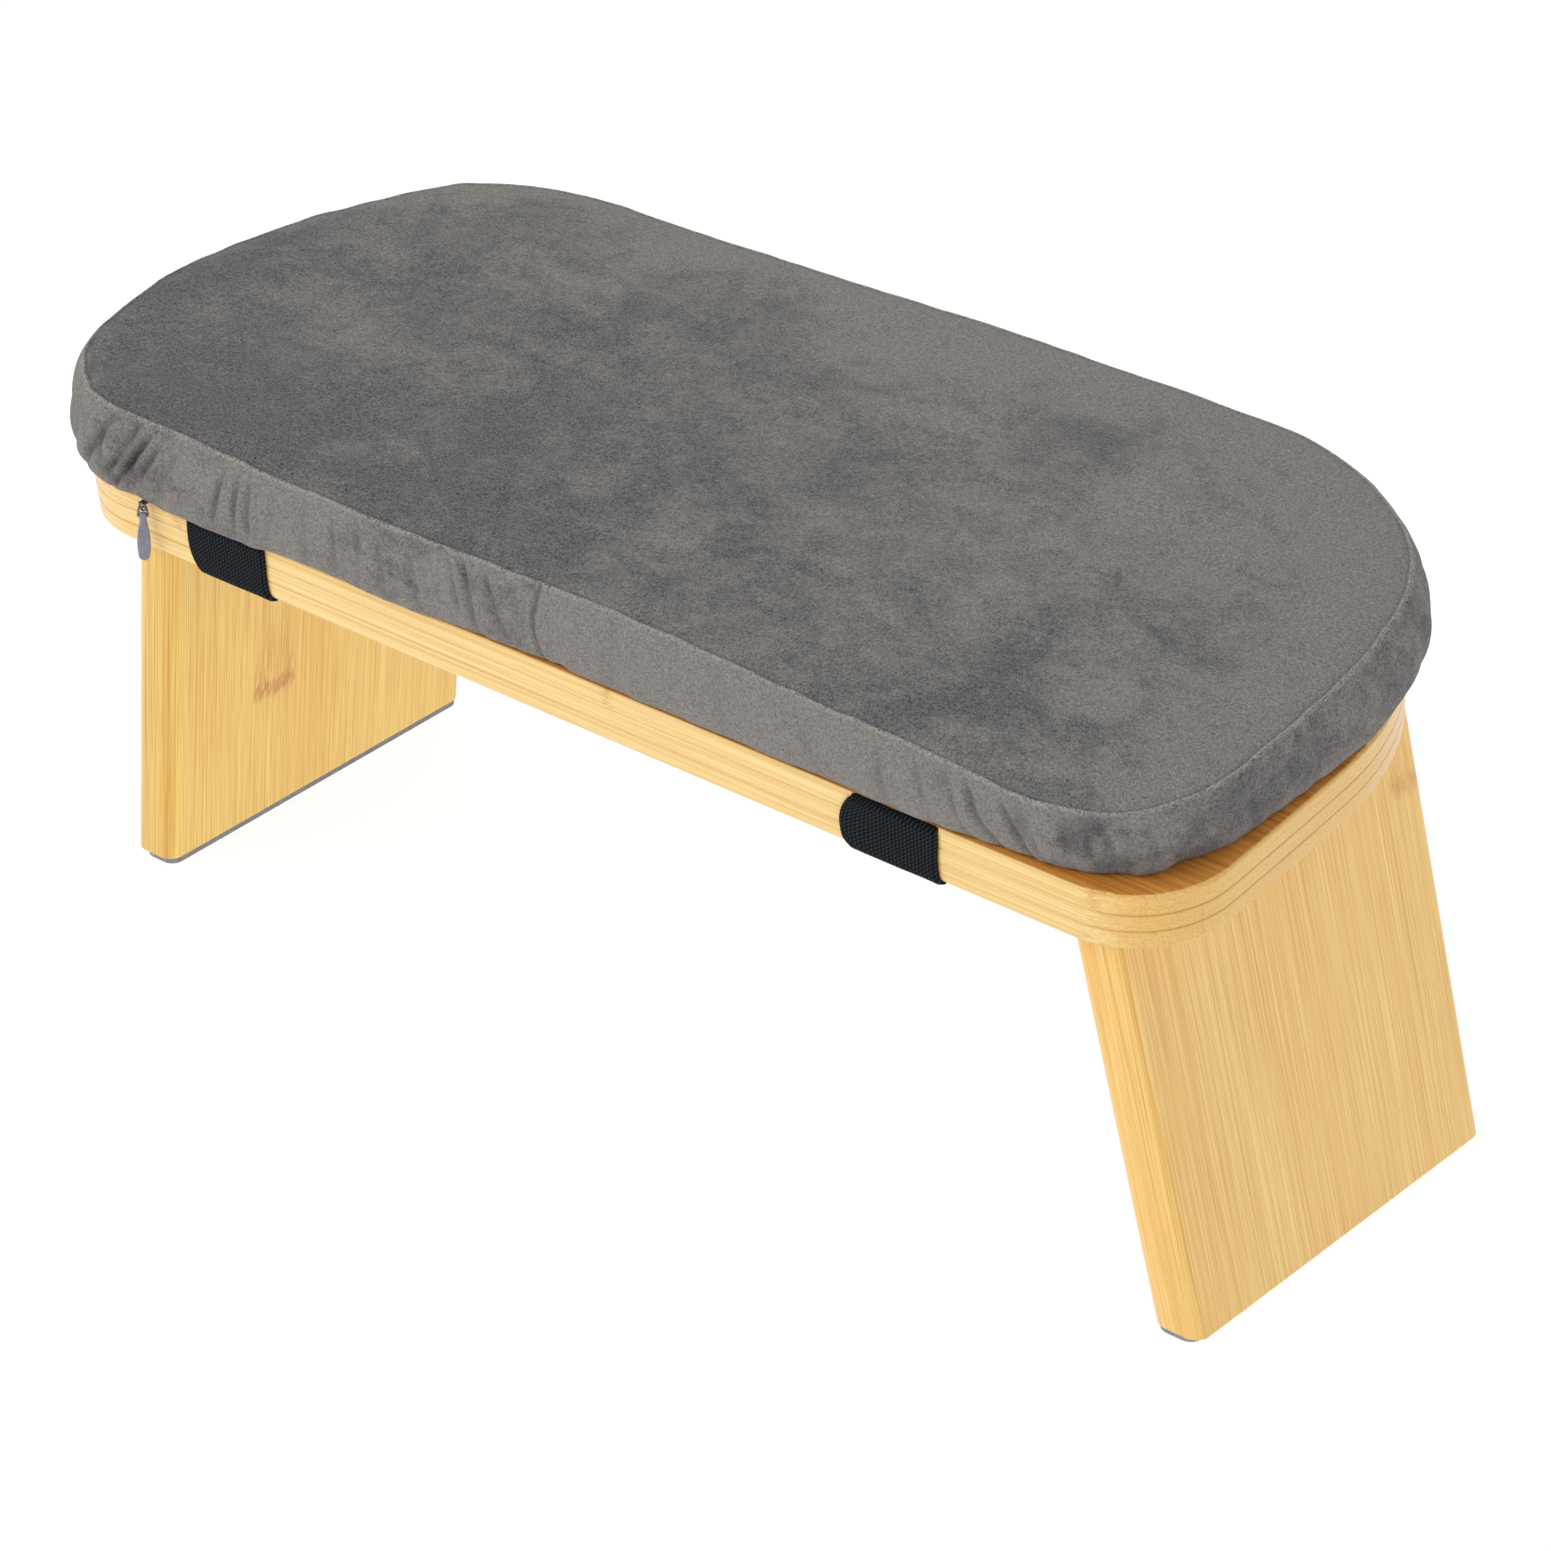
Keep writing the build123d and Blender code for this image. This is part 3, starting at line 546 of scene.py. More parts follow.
def velvet():
    shader = Shader("velvet")
    place = x, y, z = shader.local()
    point = shader.xyz(x, y, z)
    seam, band, painted_crease_shade, nap = map(shader.attribute, ("seam", "band", "painted_crease_shade", "nap"))
    # brushed smudges with broken edges, then the pile and its slanting ticks
    big = point.noise(0.014, detail=3.0, rough=0.55, distortion=0.7)
    medium = shader.squeeze(place, 0.75).noise(0.06, detail=4.0, rough=0.66, distortion=1.0)
    small = shader.squeeze(place, 0.8).noise(0.24, detail=4.0, rough=0.65, distortion=0.5)
    pile = point.noise(0.95, detail=4.0, rough=0.8)
    ticks = shader.xyz(x * 0.8 + y * 0.6, y * 0.5 - x * 0.35, z).noise(2.1, rough=0.8)
    light = big.swing(1.9) + medium.swing(2.1)
    light = light + small.swing(1.1)
    # rubbed harder round the front right corner
    away = ((x - 165.0) ** 2.0 + (y + 60.0) ** 2.0).root()
    rubbed = point.noise(0.036, detail=3.0, rough=0.6, distortion=0.9).swing(2.2)
    light = light + away.ramp(over=(100.0, 30.0)) * rubbed
    light = light + nap.swing(1.2)
    for patch_x, patch_y, radius, change in STROKED:
        away = ((x - patch_x) ** 2.0 + ((y - patch_y) * 1.5) ** 2.0).root() + medium.swing(60.0)
        patch = away.ramp(over=(radius, radius * 0.25)) * change
        light = light + patch * (1.0 - band)
    # painted light: lighter towards the right
    slope = x.ramp(over=(-190, 40), to=(0.34, 0.59), linear=True)
    light = light + (slope + x.ramp(over=(40, 220), to=(0.0, 0.06), linear=True))
    # the band has smaller smudges
    blots = point.noise(0.085, detail=3.0, rough=0.62, distortion=0.8).swing(1.7)
    light = light + band * (blots + small.swing(0.5))
    light = shader.node("ShaderNodeMath", (light, 0.0), operation="ADD", use_clamp=True)
    # the band's colours are lighter than the top's: partly the lie of its pile, partly painted
    # light
    darkest = shader.mix(band, srgb(58, 62, 72), srgb(64, 66, 75))
    lightest = shader.mix(band, srgb(129, 126, 121), srgb(141, 135, 131))
    colour = shader.mix(light, darkest, lightest)
    grain = (pile.swing(1.0) + ticks.swing(1.0)).ramp(over=(-0.26, 0.26), linear=True)
    deep = colour.toward(srgb(26, 28, 34), 0.56)
    colour = shader.mix(grain, deep, colour.toward(srgb(180, 176, 170), 0.42))
    # painted shade in the folds, the corner gathers and the seam grooves
    colour = colour.toward(srgb(46, 49, 56), painted_crease_shade * 0.60)
    # painted highlight along the seam ridge, broken up by the pile
    painted_seam_highlight = (ticks * 0.6 + pile * 0.4).ramp(over=(0.42, 0.60), to=(0.05, 0.80))
    colour = colour.toward(srgb(174, 169, 163), seam * painted_seam_highlight)
    height = pile * 0.6 + ticks * 0.5
    return shader.surface(
        Base_Color=colour, Roughness=0.95, Normal=height.bump(distance=0.0011, strength=0.7),
        Specular_IOR_Level=0.06, Sheen_Weight=0.22, Sheen_Roughness=0.35,
        Sheen_Tint=(0.62, 0.61, 0.60, 1.0))


# ------------------------------------------------------------------
# Elastic, zip coil and plain materials
# ------------------------------------------------------------------
def elastic():
    """Black webbing: slanting twill over lengthwise ribs."""
    twill_pitch, twill_slant, rib_pitch = 1.5, 0.55, 1.45
    shader = Shader("elastic")
    along = shader.attribute("along")
    across = shader.attribute("across")
    twill = ((along * (1.0 / twill_pitch) + across * twill_slant) * TURN).sine()
    rib = (across * (TURN / rib_pitch)).sine()
    height = twill * 0.6 + rib * 0.55
    fuzz = shader.xyz(along, across, 0.0).noise(1.6, rough=0.6)
    light = (height + fuzz * 0.6).ramp(over=(0.1, 1.5), linear=True)
    return shader.surface(
        Base_Color=shader.mix(light, srgb(5, 7, 10), srgb(50, 56, 65)), Roughness=0.8,
        Normal=height.bump(distance=0.0004, strength=0.9), Specular_IOR_Level=0.14)


def coil():
    """Zip coil: teeth 1.5 mm apart that slant away from the middle of the zip."""
    shader = Shader("zip_coil")
    x, y, _ = shader.local()
    teeth = ((x + abs(y + 98.0) * 0.35) * (TURN / 1.5)).sine()
    colour = shader.mix(teeth.ramp(over=(-1.0, 1.0)), srgb(52, 53, 58), srgb(120, 121, 127))
    return shader.surface(
        Base_Color=colour, Roughness=0.45, Normal=teeth.bump(distance=0.0005, strength=1.0),
        Specular_IOR_Level=0.4)


def plain(name, first, second, scale, rough, bump, bump_scale, metal=0.0, spec=0.5, y_scale=1):
    """Two mottled colours, uneven gloss and a fine bump (depth in m)."""
    shader = Shader(name)
    x, y, z = shader.local()
    point = shader.xyz(x * 1, y * y_scale, z * 1)
    mottle = point.noise(scale, detail=4.0, rough=0.6)
    uneven = point.noise(bump_scale, detail=3.0, rough=0.6)
    gloss = uneven.ramp(over=(0.3, 0.7), to=(rough - 0.07, rough + 0.08))
    colour = shader.mix(mottle.ramp(over=(0.3, 0.7)), srgb(*first), srgb(*second))
    return shader.surface(
        Base_Color=colour, Roughness=gloss, Metallic=metal,
        Normal=uneven.bump(distance=bump, strength=0.6), Specular_IOR_Level=spec)


VELVET = velvet()
ELASTIC = elastic()
FOOT_STRIP = plain("foot_strip", (150, 151, 155), (126, 127, 132), scale=0.6, rough=0.82,
                   bump=0.0003, bump_scale=2.2, spec=0.25)
HINGE = plain("hinge_steel", (186, 186, 184), (160, 160, 158), scale=0.35, rough=0.34,
              bump=0.00006, bump_scale=1.6, metal=1.0, y_scale=0.08)
SCREW = plain("screw_steel", (178, 177, 172), (140, 139, 135), scale=0.8, rough=0.3,
              bump=0.00004, bump_scale=4.0, metal=1.0)
HINGE_PIN = plain("hinge_pin_steel", (168, 168, 166), (140, 140, 139), scale=1.0, rough=0.26,
                  bump=0.00003, bump_scale=3.0, metal=1.0)
ZIP_TAPE = plain("zip_tape", (106, 107, 112), (88, 89, 95), scale=1.2, rough=0.9,
                 bump=0.0002, bump_scale=3.5, spec=0.2)
ZIP_METAL = plain("zip_metal", (122, 124, 127), (92, 94, 97), scale=1.0, rough=0.38,
                  bump=0.00003, bump_scale=3.0, metal=0.85)
PULL_TAB = plain("pull_tab", (140, 138, 152), (126, 124, 138), scale=0.35, rough=0.5,
                 bump=0.00003, bump_scale=1.2, spec=0.4)
ZIP_COIL = coil()

# the first pattern that fits a CAD node gives its material
FINISHES = [
    ("seat_*", BOARD_BAMBOO), ("left_leg", LEFT_BAMBOO), ("right_leg", RIGHT_BAMBOO),
    ("*foot_strip", FOOT_STRIP), ("*screws", SCREW), ("*hinge_pin", HINGE_PIN),
    ("*hinge*", HINGE), ("zip_tapes", ZIP_TAPE), ("zip_coils", ZIP_COIL),
    ("zip_pull_tab", PULL_TAB), ("zip*", ZIP_METAL),
]
for node_name in NODES:
    finish = next((mat for pattern, mat in FINISHES if fnmatchcase(node_name, pattern)), None)
    if finish:
        slots = NODES[node_name].data.materials
        if len(slots) == 0:
            slots.append(finish)
        for i in range(len(slots)):
            slots[i] = finish


# ------------------------------------------------------------------
# Cushion cover: one closed skin of rings, swept round the outline
# ------------------------------------------------------------------
SHIFT_X, SHIFT_Y = -4.39, -1.4
RIM, OUTWARD, AROUND, GIRTH = outline(
    length=472.4, width=209.8, front_radius=46.0, rear_radius=104.0, bow=2.4, step=0.85,
    shift=(SHIFT_X, SHIFT_Y))
COUNT = len(AROUND)
RIM_X = RIM[:, 0]
# how far each place on the rim faces each side
RIGHT, REAR = np.clip(OUTWARD, 0, 1).T
LEFT, FRONT = np.clip(-OUTWARD, 0, 1).T
# the rear is pulled tighter than the rest
CALM = 1 - 0.62 * ease(0.80, 0.98, OUTWARD[:, 1])
# line inside the cushion that the rings of the top and the underside close on
CENTRE = np.stack([np.clip(RIM_X - SHIFT_X, -150, 150) + SHIFT_X, np.full(COUNT, SHIFT_Y)], 1)
CLOSING = np.stack([np.round(CENTRE[:, 0] - SHIFT_X) + SHIFT_X, CENTRE[:, 1]], 1)
TOP_Z = 51.0                             # plane that the top rises from
RISE = 3.15                              # crown above it

# distance round the rim, offset outward
SEAM_OFFSETS = [
    (0, 3.8), (12, 2.6), (24, 3.6), (35, 3.9), (47, 1.2), (62, 0.1), (75, 0.5), (118, 0.2),
    (150, -2.2), (181, 0.5), (200, 1.6), (220, 1.2), (255, 0.2), (280, 0.4), (300, 0.0),
    (320, 0.9), (361, 0.5), (402, 0.6), (443, -1.4), (486, -2.9), (530, -4.4), (553, -4.6),
    (576, -4.2), (598, -2.4), (617, -0.8), (635, -0.2), (654, -3.0), (673, -3.8), (693, -2.4),
    (714, -0.1), (735, 4.4), (756, 6.5), (784, 3.8), (798, 1.4), (816, -2.2), (835, -4.5),
    (851, -5.8), (869, -6.1), (890, -5.1), (927, -3.2), (964, -2.5), (998, -2.8), (1023, -4.3),
    (1040, -3.9), (1056, -4.5), (1073, -4.8), (1089, -4.7), (1106, -3.5), (1123, -2.8),
    (1139, -1.6), (1155, -0.9), (1171, -0.7), (1187, -0.3), (1202, 0.8), (1219, 2.5),
]
HEM_OFFSETS = [
    (15, -6.0), (22, -5.4), (29, -6.1), (34, -4.6), (39, -4.2), (44, -4.4), (48, -5.9),
    (53, -6.4), (59, -5.7), (66, -4.4), (75, -2.8), (84, -2.1), (93, -1.2), (103, -0.3),
    (113, 0.3), (134, 0.8), (152, 0.2), (165, 1.0), (187, 2.0), (210, 1.0), (260, -1.0),
    (540, -1.0), (600, 0.5), (700, 1.5), (800, 1.2), (839, 0.9), (852, 0.2), (859, 0.1),
    (866, 1.4), (872, 2.4), (885, 2.8), (910, 2.6), (916, 2.2), (919, 0.9), (932, 0.3),
    (956, 0.1), (971, 1.2), (988, 0.7), (1004, -1.2), (1021, -1.6), (1037, -2.1), (1046, -3.0),
    (1052, -1.4), (1063, -1.2), (1100, -1.3), (1160, -1.4), (1172, -0.6), (1180, -0.5),
    (1184, -1.1), (1191, -0.8), (1202, -1.6), (1212, -3.2), (1220, -4.6), (1228, -5.6),
]
# distance round the rim, bulge of the band
BULGES = [
    (0, 3.6), (40, 3.2), (100, 4.4), (135, 6.2), (170, 6.6), (205, 5.4), (235, 4.4), (300, 3.4),
    (420, 2.8), (520, 3.4), (600, 4.4), (700, 5.4), (745, 6.3), (785, 6.4), (820, 5.4),
    (850, 3.6), (920, 2.3), (1040, 1.9), (1100, 2.0), (1180, 2.6),
]
# rings of the band, as a share of the way from the hem to the seam
BAND_LEVELS = np.array([
    0.0, 0.012, 0.03, 0.06, 0.10, 0.15, 0.20, 0.26, 0.32, 0.38, 0.44, 0.50, 0.56, 0.62, 0.68,
    0.74, 0.80, 0.85, 0.89, 0.925, 0.95, 0.97, 0.985, 1.0])
# distance round the rim at the seam, the same at the hem, width, depth, top and bottom level
FOLDS = [
    # tucks at the front left corner
    (817, 806, 7.0, 0.7, 0.98, 0.0), (836, 820, 5.5, 0.9, 0.98, 0.05),
    (854.5, 829, 4.6, 1.9, 0.97, 0.10), (866.5, 841, 2.9, 2.7, 0.97, 0.30),
    (873.5, 847, 2.9, 2.9, 0.92, 0.16), (878.5, 856, 2.9, 1.6, 0.88, 0.08),
    (886, 868, 4.2, 0.8, 0.85, 0.05),
    # puckers along the front
    (906, 897, 2.4, 1.25, 0.93, 0.30), (912.2, 908, 2.3, 1.35, 0.95, 0.22),
    (917.6, 914, 2.3, 1.2, 0.90, 0.30), (928, 922, 3.6, 0.6, 0.85, 0.1),
    (941, 939, 4.0, 0.5, 0.9, 0.1), (954, 952.5, 2.6, 0.8, 0.88, 0.2),
    (965.5, 964, 3.0, 0.9, 0.9, 0.12), (973.5, 976, 3.2, 0.9, 0.88, 0.1),
    (986, 991, 3.6, 0.8, 0.92, 0.1), (1003, 1009, 2.3, 1.3, 0.97, 0.40),
    (1009.6, 1014, 2.3, 1.5, 0.98, 0.10), (1018.2, 1028.5, 2.4, 1.5, 0.98, 0.12),
    (1030, 1037, 3.4, 0.6, 0.95, 0.25), (1073, 1069, 6.0, 0.45, 0.8, 0.1),
    (1112, 1118, 6.0, 0.4, 0.8, 0.1), (1150, 1153, 5.0, 0.5, 0.85, 0.1),
    (1178, 1182, 4.0, 0.7, 0.85, 0.1),
    # gathers round the front right corner
    (1193, 1199, 3.8, 0.8, 0.9, 0.12), (1204, 1212, 3.2, 1.3, 0.92, 0.10),
    (1211.5, 1221.5, 2.8, 1.5, 0.90, 0.10), (1225, 1232.8, 3.2, 1.6, 0.88, 0.08),
    (1234.6, 3.6, 3.0, 0.8, 0.95, 0.10), (10.5, 14.0, 3.2, 0.7, 0.92, 0.05),
    (19.8, 20.8, 3.2, 1.0, 0.94, 0.05), (25, 27, 2.4, 0.5, 0.85, 0.0),
    (29.5, 32.4, 2.4, 0.7, 0.60, 0.0), (37, 41, 3.6, 0.5, 0.9, 0.0),
    (45, 49, 3.2, 0.4, 0.6, 0.0), (57, 62, 5.0, 0.7, 0.8, 0.05), (69, 80, 6.0, 0.6, 0.9, 0.1),
    # ends and rear
    (104, 110, 7.0, 0.5, 0.8, 0.1), (140, 146, 8.0, 0.6, 0.85, 0.1),
    (178, 172, 7.0, 0.6, 0.85, 0.1), (205, 200, 6.0, 0.8, 0.85, 0.1),
    (226, 229, 5.0, 0.8, 0.9, 0.1), (240, 244, 5.5, 0.8, 0.85, 0.1),
    (262, 259, 4.5, 0.8, 0.9, 0.1), (283, 287, 5.0, 0.7, 0.9, 0.1),
    (310, 316, 7.0, 0.5, 0.9, 0.1), (343, 340, 6.0, 0.5, 0.9, 0.1),
    (370, 373, 8.0, 0.5, 0.9, 0.1), (402, 398, 6.0, 0.5, 0.9, 0.1),
    (430, 425, 7.0, 0.5, 0.9, 0.1), (466, 470, 6.0, 0.5, 0.9, 0.1),
    (500, 505, 6.0, 0.6, 0.9, 0.1), (528, 524, 5.0, 0.8, 0.9, 0.1),
    (548, 545, 4.6, 0.9, 0.9, 0.1), (563, 566, 4.6, 0.9, 0.9, 0.1),
    (582, 580, 5.0, 0.8, 0.9, 0.1), (606, 611, 6.0, 0.7, 0.9, 0.1),
    (640, 636, 7.0, 0.7, 0.9, 0.1), (668, 664, 6.0, 0.6, 0.9, 0.1),
    (690, 696, 7.0, 0.7, 0.9, 0.1), (722, 719, 5.0, 0.8, 0.9, 0.1),
    (745, 741, 5.5, 0.8, 0.9, 0.1), (768, 763, 5.0, 0.9, 0.9, 0.1),
    (792, 786, 5.5, 1.0, 0.95, 0.05),
]
# rings of the top: distance in from the seam, rise, share of painted seam highlight
TOP_RINGS = [
    (0.20, 0.24, 1.0), (0.42, 0.32, 1.0), (0.66, 0.24, 0.8), (0.90, 0.06, 0.3), (1.3, 0.10, 0),
    (2.0, 0.42, 0), (3.2, 0.85, 0), (4.6, 1.28, 0), (6.4, 1.68, 0), (8.8, 2.02, 0),
    (11.8, 2.30, 0), (15.5, 2.52, 0), (20, 2.68, 0), (25.5, 2.80, 0), (32, 2.88, 0),
    (39.5, 2.95, 0), (48, 3.0, 0), (57, 3.05, 0), (66.5, 3.1, 0), (76, 3.12, 0), (85, 3.14, 0),
    (93, RISE, 0),
]
# rings of the underside: distance in from the hem, height, then y and height along the zip,
# where a pocket roofs it (None: y as elsewhere)
UNDER_Z = 20.52
UNDER_RINGS = [
    (0.5, 20.60, -102.9, 21.46), (0.9, 20.56, -102.6, 21.44), (1.4, 20.54, -102.3, 23.0),
    (2.2, 20.53, -102.0, 24.6), (4.5, 20.52, -98.0, 24.66), (8.0, 20.52, -94.4, 24.6),
    (8.7, 20.52, -94.1, 22.6), (9.4, 20.52, -93.8, 20.56), (14.0, UNDER_Z, -91.0, UNDER_Z),
    (24, UNDER_Z, None, UNDER_Z), (40, UNDER_Z, None, UNDER_Z), (60, UNDER_Z, None, UNDER_Z),
    (80, UNDER_Z, None, UNDER_Z),
]
# where the cloth is cut too long: amount, distance round the rim, half width
SLACK = [
    (0.9, 858, 26), (0.7, 910, 14), (0.6, 1012, 14), (1.0, 1222, 26), (1.0, 14, 26),
    (0.5, 235, 30), (0.5, 565, 30), (0.5, 780, 30),
]


def rim_curve(table, smooth):
    """Closed curve through (distance, value) pairs, blurred over the given distance."""
    places, values = np.array(sorted(table), float).T
    places = np.concatenate([places - GIRTH, places, places + GIRTH])
    curve = np.interp(AROUND, places, np.concatenate([values] * 3))
    step = AROUND[1] - AROUND[0]
    reach = int(4 * smooth / step)
    return ring_filter(curve, bell(np.arange(-reach, reach + 1) * step, smooth))


def rim_gap(place, centre):
    """Signed distance from centre to place, the short way round the rim."""
    return np.mod(place - centre + GIRTH / 2, GIRTH) - GIRTH / 2


def rim_noise(cells, y, seed):
    return value_noise(AROUND / GIRTH * cells, y, seed, cells)


def seam_line():
    """Outward offset and height of the seam."""
    offset = rim_curve(SEAM_OFFSETS, 5.0)
    # facing away from or towards the camera, half of the offset becomes height
    slope = -(OUTWARD @ np.array([-0.652, 0.758])) / math.tan(math.radians(33.7))
    safe_slope = np.where(np.abs(slope) < 0.6, np.copysign(0.6, slope), slope)
    weight = ease(0.25, 0.6, np.abs(slope))
    height = np.clip(50.4 + (-0.5 * offset) / safe_slope * weight, 48.2, 53.6)
    reach = int(14 / (AROUND[1] - AROUND[0]))
    height = ring_filter(height, np.hanning(2 * reach + 1))
    offset = offset * (1 - 0.5 * weight)
    # fine unevenness of a hand-guided seam
    cells = int(round(GIRTH / 9.0))
    quiet = 1 - 0.75 * ease(0.80, 0.98, OUTWARD[:, 1])
    height = height + 0.28 * quiet * rim_noise(cells, 3.3, 5)
    offset = offset + 0.30 * quiet * rim_noise(cells, 8.3, 6)
    return offset, height


def hem_line():
    """Outward offset and height of the hem, which clears the zip and rests on the board."""
    offset = rim_curve(HEM_OFFSETS, 1.4)
    offset = offset + 0.35 * rim_noise(int(round(GIRTH / 5.5)), 1.3, 7)
    over_zip = ease(-200, -191, RIM_X) * (1 - ease(157, 170, RIM_X)) * (OUTWARD[:, 1] < -0.5)
    uneven = 1 + rim_noise(int(round(GIRTH / 9.0)), 5.1, 9)
    height = 20.62 + 0.93 * over_zip + 0.12 * uneven * (0.4 + over_zip)
    height = height + 0.9 * bell(AROUND - 52, 3.0) + 0.5 * bell(AROUND - 26, 2.2)
    return offset, height


def fold_field(level):
    """Outward push of the folds at one level of the band, and painted shade in their grooves."""
    push = np.zeros(COUNT)
    dark = np.zeros(COUNT)
    for seam_place, hem_place, width, depth, top, bottom in FOLDS:
        lean = rim_gap(seam_place, hem_place)
        middle = hem_place + lean * level
        middle = (middle + 0.10 * width * math.sin(level * 6.0 + seam_place)
                  + 0.05 * lean * math.sin(math.pi * level))
        gap = rim_gap(AROUND, middle)
        strength = math.exp(-((max(0.0, level - top * 0.82) / 0.13) ** 2))
        strength *= math.exp(-((max(0.0, bottom - level) / 0.12) ** 2))
        strength *= 0.5 + 0.5 * math.sin(math.pi * min(1.0, max(0.0, (level - 0.02) / 0.95)))
        strength *= (0.82 + 0.38 * math.sin(level * 7.0 + hem_place * 1.7)
                     * math.cos(level * 3.1 + seam_place * 0.9))
        spread = width * (0.85 + 0.35 * (1 - level))
        groove = bell(gap, spread * 0.33)
        after = bell(gap - spread * 0.95, spread * 0.50)
        before = bell(gap + spread * 1.15, spread * 0.60)
        push += depth * strength * (0.55 * after + 0.25 * before - 0.95 * groove)
        # painted shade in the groove of each fold
        dark += min(1.1, depth / 1.9) * strength * groove
    return np.clip(push, -2.6, 2.2), np.clip(dark, 0, 1)


def crumple(level):
    """Small irregular gathers, wider round the front right corner."""
    tight = (value_noise(AROUND / 4.3 + 40, level * 3.2 + 3, 61) * 0.75
             + value_noise(AROUND / 2.3 + 40, level * 4.6 + 3, 62) * 0.35)
    rolled = np.mod(AROUND - 400, GIRTH)
    wide = (value_noise(rolled / 7.5 + 40, level * 2.3 + 3, 64) * 1.10
            + value_noise(rolled / 3.6 + 40, level * 3.6 + 3, 65) * 0.25)
    both = np.where((AROUND > 1150) | (AROUND < 100), wide, tight)
    return both * math.sin(math.pi * min(1, level * 0.97 + 0.02))


def band_nap_and_light(level):
    """Lie of the pile on the band, with painted light: lighter in front, painted shade at the
    right end.
    """
    # painted light on the front and left sides, painted shade on the right end and the front
    # right corner
    nap = 0.5 + 0.46 * FRONT ** 1.5 - 0.26 * RIGHT + 0.10 * LEFT
    nap = nap + 0.10 * rim_noise(30, level * 2.0, 31)
    nap = nap - 0.55 * RIGHT * FRONT
    # light to the right of the upright join, most of all near the hem
    fade = np.exp(-(np.maximum(AROUND - 1060, 0) / 42.0) ** 2)
    nap = nap + (0.28 + 0.12 * (1 - level)) * ease(1039.5, 1042.5, AROUND) * fade
    # painted shade: dark patches round the front right corner, where the gathers shade the band
    window = ease(1178, 1200, AROUND) + (1 - ease(55, 95, AROUND))
    patches = value_noise(np.mod(AROUND - 400, GIRTH) / 10.0 + 20, level * 1.6 + 2, 71)
    return nap + window * (-0.08 + 0.36 * patches)


def band_rows(seam_offset, seam_z):
    """Rings from hem to seam, with painted seam highlight, band, painted crease shade, and nap
    with painted light.
    """
    hem_offset, hem_z = hem_line()
    bulge = rim_curve(BULGES, 12.0)
    # where the band turns the front corners
    corner = (ease(1190, 1206, AROUND) + (1 - ease(28, 46, AROUND))
              + ease(834, 850, AROUND) * (1 - ease(878, 892, AROUND)))
    rows, shades = [], []
    for level in BAND_LEVELS:
        offset = hem_offset + (seam_offset - hem_offset) * (level ** 1.15)
        offset = offset + bulge * (math.sin(math.pi * level) ** 0.72 * (1.0 - 0.12 * level))
        if level < 0.10:                 # the hem turns under
            offset = offset - (1 - level / 0.10) ** 2
        push, dark = fold_field(level)
        soft = 1 - ease(0.93, 1.0, level)
        offset = offset + push * soft * CALM
        gathers = crumple(level)
        offset = offset + corner * gathers * 1.15
        waves = rim_noise(36, level * 1.7, 21) * 0.75 + rim_noise(88, level * 2.2, 22) * 0.32
        offset = offset + waves * math.sin(math.pi * min(1, level * 0.95 + 0.04)) * 0.9 * CALM
        # upright join in the band, slightly curved
        join = rim_gap(AROUND, 1040.6 + 1.5 * level - 2.6 * math.sin(math.pi * level))
        groove = bell(join, 0.62)
        offset = offset - 0.8 * groove + 0.35 * bell(join - 2.4, 1.5)
        z = hem_z + (seam_z - hem_z) * level
        rows.append(np.column_stack([RIM + OUTWARD * offset[:, None], z]))
        # painted highlight on the rolled edge of the hem, as on the seam ridge
        light = ease(0.955, 1.0, level) * 0.9 + (1 - ease(0.012, 0.06, level)) * 0.35
        # painted shade in the hollows of the corner gathers
        painted_hollow_shade = corner * np.clip(-gathers - 0.22, 0, 1) * 1.3 * soft
        painted_crease_shade = np.clip(dark * 0.9 * soft + groove * 0.8 + painted_hollow_shade, 0, 1)
        shades.append((light, 1.0, painted_crease_shade, band_nap_and_light(level)))
    return rows, shades


def inward(edge, distance, reach, turn):
    """Ring inside an edge: along the normals at first, then turning to the centre line."""
    part = distance / reach
    weight = float(ease(*turn, part))
    return (edge - OUTWARD * distance) * (1 - weight) + (edge + (CENTRE - edge) * part) * weight


def top_rows(seam_offset, seam_z):
    """Seam ridge and top, closing on the centre line, with the same four values."""
    seam = RIM + OUTWARD * seam_offset[:, None]
    far = REAR + 0.9 * RIGHT * (OUTWARD[:, 1] > -0.9)
    reach = 96.0
    rows, shades = [], []
    for distance, rise, light in TOP_RINGS:
        part = distance / reach
        ring = inward(seam, distance, reach, turn=(0.02, 0.30))
        z = seam_z + (TOP_Z - seam_z) * float(ease(0.0, 0.45, part)) + rise
        x, y = ring.T
        waves = (0.35 * value_noise(x / 42 + 60, y / 42 + 60, 41)
                 + 0.14 * value_noise(x / 17 + 60, y / 17 + 60, 42))
        z = z + waves * float(ease(0.02, 0.12, part))
        pucker = rim_noise(170, distance * 0.25, 44)
        z = z + 0.22 * pucker * math.exp(-((distance - 2.5) / 3.5) ** 2)
        rows.append(np.column_stack([ring, z]))
        # painted shade in the groove just inside the seam
        painted_crease_shade = 0.45 if abs(distance - 1.1) < 0.25 else 0.0
        # painted highlight along the rear and the right end, painted shade along the front edge
        edge = math.exp(-(distance / 22.0) ** 1.3)
        nap = 0.42 + 0.40 * edge * far + 0.42 * math.exp(-distance / 44.0) * far
        nap = nap - 0.17 * math.exp(-((distance - 14.0) / 26.0) ** 2) * FRONT
        shades.append((light, 0.0, painted_crease_shade, nap))
    rows.append(np.column_stack([CLOSING, np.full(COUNT, TOP_Z + RISE)]))
    shades.append((0.0, 0.0, 0.0, 0.42))
    return rows, shades


